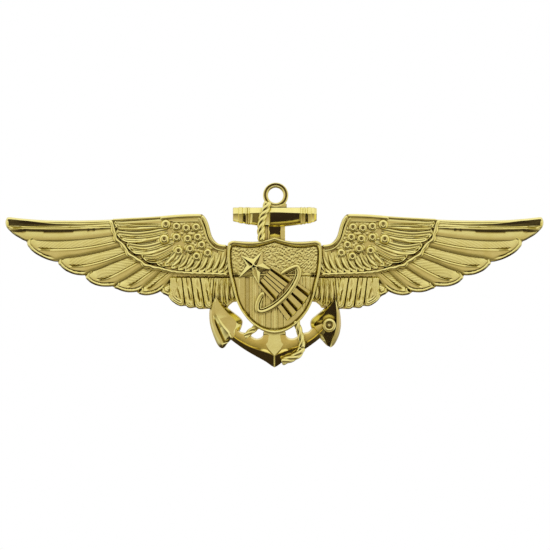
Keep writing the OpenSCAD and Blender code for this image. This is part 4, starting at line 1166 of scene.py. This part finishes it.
# The sections that its shape is drawn through.
STOCK_SECTIONS = [
    -5.42, -5.36, -5.1, -5.04, -4.98, -4.8, -4.7, -4.62, -4.22, -4.14, -4.1, -4.02, -4.0, -3.92, -3.84,
    -3.72, -3.62, -3.61, -3.55, -3.54, -3.42, -3.32, -3.22, -3.14, -3.06, -3.0, -2.88, -2.6, -1.98,
    -1.88, -1.8, -0.9, -0.66, -0.58, -0.1, 0.7, 1.5, 2.3, 3.0, 3.28, 3.36, 3.37, 3.42, 3.44, 3.56, 3.66,
    3.78, 3.88, 3.96, 4.0, 4.06, 4.1, 4.16, 4.26, 4.36, 4.4, 4.44, 4.74, 4.82, 4.92, 5.06, 5.12, 5.18,
    5.44, 5.5,
]


def stock():
    """The cross bar: a facetted section that swells at the bands and is hollowed between them."""
    build = Build()
    rings = []
    for x in STOCK_SECTIONS:
        t = abs(x - 0.1) / 5.4
        band_here = any(abs(x - middle) <= half + 0.01 for middle, half in STOCK_BANDS)
        b = 1.0 if band_here else 0.0
        cap = 1.0 if abs(x) > 5.4 else 0.0
        top = 6.86 + 0.05 * b - 0.1 * cap
        low = 4.3 + 0.72 * t ** 1.6 - 0.06 * b + 0.1 * cap
        front = 2.42 - 0.18 * t + 0.1 * b - 0.35 * cap
        crest = 6.12 - 0.05 * b - 0.2 * t
        chin = low + 0.24 - 0.04 * t
        depths = [share * ease((x - x0) / soft0) * ease((x1 - x) / soft1)
                  for x0, x1, soft0, soft1, share in STOCK_HOLLOWS]
        hollow = 0.02 if band_here else 0.05 + 0.55 * max(depths)
        rings.append([(x, 0.0, top - 0.05), (x, front - 1.0, top), (x, front - 0.4, top - 0.06),
                      (x, front, crest + 0.1), (x, front - 0.02, crest),
                      (x, front - 0.02 - hollow, chin + 0.12), (x, front - 0.04, chin - 0.02),
                      (x, front - 0.3, low + 0.03), (x, front - 1.2, low), (x, 0.0, low + 0.06)])
    build.skin(rings)
    return build


def ring():
    """The ring with a groove round its front, and the lug that it stands on."""
    build = Build()
    profile = [(1.0, RING_BACK), (1.6, RING_BACK), (1.65, 0.12), (1.65, 1.34), (1.62, 1.47), (1.55, 1.53),
               (1.48, 1.51), (1.43, 1.42), (1.4, 1.15), (1.34, 1.15), (1.31, 1.44), (1.26, 1.52),
               (1.17, 1.54), (1.08, 1.5), (1.03, 1.42), (1.0, 1.25)]
    build.turned((0.15, 8.45), profile, 72)
    lug = [(-1.5, 6.8), (1.6, 6.8), (1.6, 7.3), (1.3, 7.5), (0.75, 7.35), (0.15, 7.22), (-0.45, 7.35),
           (-1.1, 7.5), (-1.5, 7.3)]
    build.bevelled(lug, LUG_BACK, 1.3, 1.5, 0.1)
    return build


def rope(build, line, wide, high, turns, ends=True):
    """Three strands twisted about a line, over a plain core that reaches down to the back."""
    count = 110
    line = resampled(smooth_curve(line), count)
    side = side_of(line)
    t = np.linspace(0, 1, count + 1)
    fade = np.sqrt(np.clip(np.minimum(t, 1 - t) / 0.035, 0, 1)) if ends else np.ones_like(t)
    r = 0.5 * wide
    strand, orbit_r = 0.56 * r, 0.42 * r
    for k in range(3):
        turn = 2 * math.pi * (turns * t + k / 3)
        path = line + side * (orbit_r * np.cos(turn))[:, None]
        build.tube(np.insert(path, 1, high - r + orbit_r * np.sin(turn), axis=1),
                   strand * (0.35 + 0.65 * fade))
    w = (0.72 * r * (0.5 + 0.5 * fade))[:, None]
    drops = {-1: 1.1, -0.8: 0.85, 0: 0.8, 0.8: 0.85, 1: 1.1}
    build.loft([line + side * w * share for share in drops], [high - drop * r for drop in drops.values()],
               ROPE_BACK)


# ---------------------------------------------------------------------------
# Posts and clutches, drawn about their own post with y behind the badge
# ---------------------------------------------------------------------------

def turned_part(name, profile, middle, steps=64):
    """A profile of (radius, distance behind the back) pairs turned about the post."""
    build = Build()
    build.turned((0.0, 0.0), [(r, -y) for r, y in profile], steps)
    return build.object(name, at=(middle, 0.0, 0.0))


def post(name, middle):
    """A round post with a stiffened root, a neck for the jaws and a pointed end."""
    return turned_part(name, [
        (0, 0.02), (0.5, 0.02), (0.55, 0.1), (0.55, 0.38), (0.7, 0.41), (0.74, 0.46), (0.75, 0.55),
        (0.75, 1.7), (0.73, 1.82), (0.68, 1.9), (0.58, 1.97), (0.55, 2.05), (0.55, 5.95), (0.53, 6.02),
        (0.43, 6.12), (0.41, 6.2), (0.41, 6.45), (0.43, 6.53), (0.53, 6.62), (0.55, 6.7), (0.55, 6.86),
        (0.52, 6.95), (0.3, 7.5), (0.12, 7.92), (0.07, 7.98), (0, 8.0)], middle)


def post_pad(name, middle):
    """The solder pad about the foot of a post."""
    return turned_part(name, [
        (0.57, 0.01), (1.9, 0.01), (1.98, 0.04), (2.0, 0.1), (2.0, 0.26), (1.97, 0.34), (1.88, 0.39),
        (1.7, 0.4), (1.2, 0.36), (0.8, 0.38), (0.57, 0.4)], middle)


def clutch_dish(name, middle):
    """A spun dish: its face is at y, its radius r and its sheet s thick."""
    y, r, s = 2.2, 4.75, 0.35
    return turned_part(name, [
        (0.85, y + 0.06), (0.9, y + 0.01), (1.0, y), (1.6, y), (1.7, y + 0.04), (1.8, y), (r - 0.55, y),
        (r - 0.3, y + 0.03), (r - 0.12, y + 0.12), (r - 0.03, y + 0.27), (r, y + 0.42), (r, y + 0.78),
        (r - 0.05, y + 0.87), (r - s * 0.5, y + 0.9), (r - s + 0.05, y + 0.87), (r - s, y + 0.78),
        (r - s, y + 0.52), (r - s - 0.06, y + 0.42), (r - s - 0.2, y + s + 0.01), (r - 0.85, y + s),
        (r - 1.1, y + s + 0.08), (r - 1.35, y + s), (1.8, y + s), (1.7, y + s + 0.04), (1.6, y + s),
        (1.0, y + s), (0.9, y + s - 0.01), (0.85, y + s - 0.06)], middle, steps=96)


def bend_sheet(build, path, half, thick, middle=0.0):
    """A strip of sheet metal bent along a path of (z, y) points, half wide to each side of the middle."""
    path = np.asarray(path, float)
    side = side_of(path) * (0.5 * thick)
    half = np.broadcast_to(np.asarray(half, float), (len(path),))
    bevel = 0.25 * thick
    rings = []
    for (z, y), (side_z, side_y), wide in zip(path, side, half):
        # Half the section, from the bevel on one face to the one on the other, then its mirror image.
        edge = [(wide - bevel, -1), (wide, -0.5), (wide, 0.5), (wide - bevel, 1)]
        section = [(x, q) for x, q in edge] + [(-x, q) for x, q in edge[::-1]]
        rings.append([(middle + x, -(y + q * side_y), z + q * side_z) for x, q in section])
    build.skin(rings)


PIVOT_Y, PIVOT_Z = 4.6, 2.7
JAW_Y = 3.55
EAR_THICK = 0.33
JAW_THICK = 0.3
# Half the widths of the ear and of the gap that the middle tongue fills.
EAR_HALF = 1.98
GAP_HALF = 0.62


def roll(build, radius, ends):
    """A round bar along x about the pivot, drawn through (x, share of the radius)."""
    turn = np.linspace(0, 2 * math.pi, 28, endpoint=False)
    build.skin([[(x, -(PIVOT_Y + radius * q * math.sin(t)), PIVOT_Z + radius * q * math.cos(t))
                 for t in turn]
                for x, q in ends])


def clutch_ear(name, middle, up):
    """A jaw that runs in to the post, the rolled bend and the ear that is squeezed."""
    build = Build()
    roll(build, 0.35, ((-2.03, 0.88), (-EAR_HALF, 1.0), (EAR_HALF, 1.0), (2.03, 0.88)))
    roll(build, 0.245, ((-2.65, 0.8), (-2.6, 1.0), (2.6, 1.0), (2.65, 0.8)))
    ear = bend((PIVOT_Z - 0.1, PIVOT_Y + 0.05), (PIVOT_Z + 1.55, PIVOT_Y),
               (PIVOT_Z + 2.28, PIVOT_Y + 2.05), 22)
    s = along(ear) / along(ear)[-1]
    bend_sheet(build, ear, EAR_HALF - 0.5 * np.clip((s - 0.75) / 0.25, 0, 1) ** 2.2, EAR_THICK)
    root = (PIVOT_Z + 0.05, PIVOT_Y - 0.12)
    tongue = bend(root, (1.6, JAW_Y + 0.28), (0.12, JAW_Y), 10)
    for flip in (-1, 1):
        bend_sheet(build, tongue, 0.5 * (EAR_HALF - GAP_HALF), JAW_THICK,
                   flip * 0.5 * (EAR_HALF + GAP_HALF))
    bend_sheet(build, bend(root, (2.0, JAW_Y + 0.4), (0.72, JAW_Y + 0.06), 8), GAP_HALF, JAW_THICK)
    obj = build.object(name, at=(middle, 0.0, 0.0))
    if not up:
        for v in obj.data.vertices:
            v.co.z = -v.co.z
        obj.data.flip_normals()
    return obj


# ---------------------------------------------------------------------------
# The pieces
# ---------------------------------------------------------------------------

for label, maker, material, slot_name, sharp, node in (
        ("shield_field_and_rim", shield, PALE, "stippled_gold", SHARP, "shield"),
        ("star_facets", star, GOLD, "polished_gold", SHARP_FACETS, "shooting_star"),
        ("star_rays", rays, GOLD, "polished_gold", SHARP_FACETS, "shooting_star"),
        ("orbit_band", orbit, GOLD, "polished_gold", SHARP, "orbit"),
        ("anchor_arms", arms, DEEP, "polished_gold", SHARP_FACETS, "anchor"),
        ("anchor_crown", crown, GOLD, "polished_gold", SHARP_FACETS, "anchor"),
        ("anchor_flukes", flukes, GOLD, "polished_gold", SHARP_FACETS, "anchor"),
        ("anchor_shank", shank, GOLD, "polished_gold", SHARP_FACETS, "anchor"),
        ("anchor_bar", stock, GOLD, "polished_gold", SHARP_FACETS, "anchor_stock"),
        ("anchor_eye", ring, GOLD, "polished_gold", SHARP_FACETS, "anchor_ring")):
    place(maker().object(label, sharp=sharp), material, slot_name, node)

# Each visible length of rope: its line, width, height and number of turns.
ROPES = {
    "rope_upper": [([(-0.85, 7.55), (-1.05, 6.9), (-1.3, 6.2), (-1.55, 5.5), (-1.7, 4.8), (-1.74, 3.9),
                     (-1.7, 3.1), (-1.65, 2.5)], 1.1, 2.78, 1.95)],
    "rope_left": [([(-2.0, -8.45), (-2.7, -9.0), (-3.3, -9.5), (-3.9, -10.05)], 0.9, 1.95, 0.85)],
    "rope_right": [([(2.85, -7.9), (3.05, -8.7), (3.3, -9.4), (3.45, -10.1), (3.58, -10.7), (3.5, -11.4)],
                    0.92, 2.5, 1.15),
                   ([(3.6, -11.35), (3.3, -12.0), (2.8, -12.5), (2.1, -12.85), (1.4, -13.1),
                     (0.95, -13.25)],
                    1.04, 2.42, 1.05)],
}
for node, lengths in ROPES.items():
    build = Build()
    for line, wide, high, turns in lengths:
        rope(build, line, wide, high, turns, ends=node != "rope_left")
    place(build.object(node + "_strands"), GOLD, "polished_gold", node)

for side, middle in (("left", -abs(POST_X)), ("right", abs(POST_X))):
    place(post(f"{side}_post_turned", middle), PLAIN, "fittings", f"{side}_post")
    place(post_pad(f"{side}_pad_turned", middle), PLAIN, "fittings", f"{side}_post_pad")
    place(clutch_dish(f"{side}_dish_spun", middle), BRASS, "clutch_brass", f"{side}_clutch_dish",
          body=f"{side}_clutch")
    for half in ("upper", "lower"):
        place(clutch_ear(f"{side}_{half}_ear", middle, half == "upper"), BRASS, "clutch_brass",
              f"{side}_{half}_jaw", body=f"{side}_{half}_lever")

# ---------------------------------------------------------------------------
# Carried-over CAD nodes
# ---------------------------------------------------------------------------

for name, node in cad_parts.items():
    node.data.materials.clear()
    node.data.materials.append(BRASS if "clutch" in name or "jaw" in name else GOLD)

# ---------------------------------------------------------------------------
# Stage, light and camera
# ---------------------------------------------------------------------------

# The colour of the surroundings from straight below to straight above, by the sine of the elevation.
SKY = [
    (-1.0, (0.5, 0.44, 0.34)), (-0.88, (0.34, 0.29, 0.2)), (-0.72, (0.034, 0.023, 0.022)),
    (-0.48, (0.034, 0.023, 0.022)), (-0.36, (0.16, 0.12, 0.06)), (-0.2, (0.42, 0.36, 0.24)),
    (0.0, (0.64, 0.54, 0.43)), (0.22, (0.82, 0.78, 0.7)), (0.5, (1.02, 0.99, 0.95)),
    (1.0, (1.15, 1.13, 1.1)),
]
SIDE_PANELS = (0.98, 0.96, 0.9, 1)
WHITE = (1.0, 1.0, 1.0, 1)
FLOOR_COLOUR = (0.93, 0.93, 0.92, 1)
# In metres: how far the floor lies below the badge's middle.
FLOOR_DROP = 0.075
# In millimetres: the floor's radius, the width of the view, and the view's middle.
FLOOR_RADIUS = 180
VIEW_WIDE = 71.56
VIEW_MIDDLE = (0.065, -2.0, -1.95)
LENS = 200.0
SENSOR = 36.0


def sky_ramp(tree, height):
    """The sky's colour at a height from -1 to 1."""
    node = tree.nodes.new("ShaderNodeValToRGB")
    node.color_ramp.interpolation = "EASE"
    elements = node.color_ramp.elements
    while len(elements) < len(SKY):
        elements.new(0.5)
    for element, (at, _) in zip(elements, SKY):
        element.position = 0.5 + 0.5 * at
    for element, (_, colour) in zip(elements, SKY):
        element.color = (*colour, 1)
    feed(tree, node, {"Fac": remap(tree, height, -1.0, 1.0)})
    return node.outputs["Color"]


def light():
    """A studio that the metal mirrors: bright above and at the sides, dark below. The camera sees white."""
    world = bpy.data.worlds.new("studio")
    bpy.context.scene.world = world
    world.use_nodes = True
    tree = world.node_tree
    tree.nodes.clear()
    split = tree.nodes.new("ShaderNodeSeparateXYZ")
    feed(tree, split, {"Vector": shader_node(tree, "TexCoord", "Generated", {})})
    flank = shader_node(tree, "Math", "Value", {0: split.outputs["X"]}, operation="ABSOLUTE")
    aside = remap(tree, flank, 0.45, 0.9, interpolation_type="SMOOTHSTEP")
    around = mixed(tree, aside, sky_ramp(tree, split.outputs["Z"]), SIDE_PANELS)
    glow = shader_node(tree, "Background", "Background", {"Color": around, "Strength": 1.0})
    seen = shader_node(tree, "Background", "Background", {"Color": WHITE, "Strength": 1.0})
    from_camera = shader_node(tree, "LightPath", "Is Camera Ray", {})
    both = shader_node(tree, "MixShader", "Shader", {"Fac": from_camera, 1: glow, 2: seen})
    feed(tree, tree.nodes.new("ShaderNodeOutputWorld"), {"Surface": both})


def stage():
    """A plain pale floor below the badge."""
    build = Build()
    turn = np.linspace(0, 2 * math.pi, 97)[:-1]
    build.plate(FLOOR_RADIUS * np.stack([np.cos(turn), np.sin(turn)], 1), 0, 2, 0.5)
    floor = build.object("floor")
    floor.rotation_euler = (math.radians(90), 0, 0)
    floor.location = (0, 0, -FLOOR_DROP)
    mat, tree, shader = new_material("floor")
    feed(tree, shader, {"Base Color": FLOOR_COLOUR, "Roughness": 0.8, "Emission Color": WHITE,
                        "Emission Strength": 0.3})
    floor.data.materials.append(mat)
    floor.visible_glossy = False


def camera():
    """A long lens straight in front of the badge."""
    scene = bpy.context.scene
    scene.view_settings.view_transform = "Standard"
    cam = bpy.data.cameras.new("camera")
    cam.lens = LENS
    cam.sensor_width = SENSOR
    cam.clip_start = 0.01
    cam.clip_end = 10
    eye = bpy.data.objects.new("camera", cam)
    scene.collection.objects.link(eye)
    x, y, z = VIEW_MIDDLE
    eye.location = (x * MM, (y - VIEW_WIDE * LENS / SENSOR) * MM, z * MM)
    eye.rotation_euler = (math.radians(90), 0, 0)
    scene.camera = eye


light()
stage()
camera()
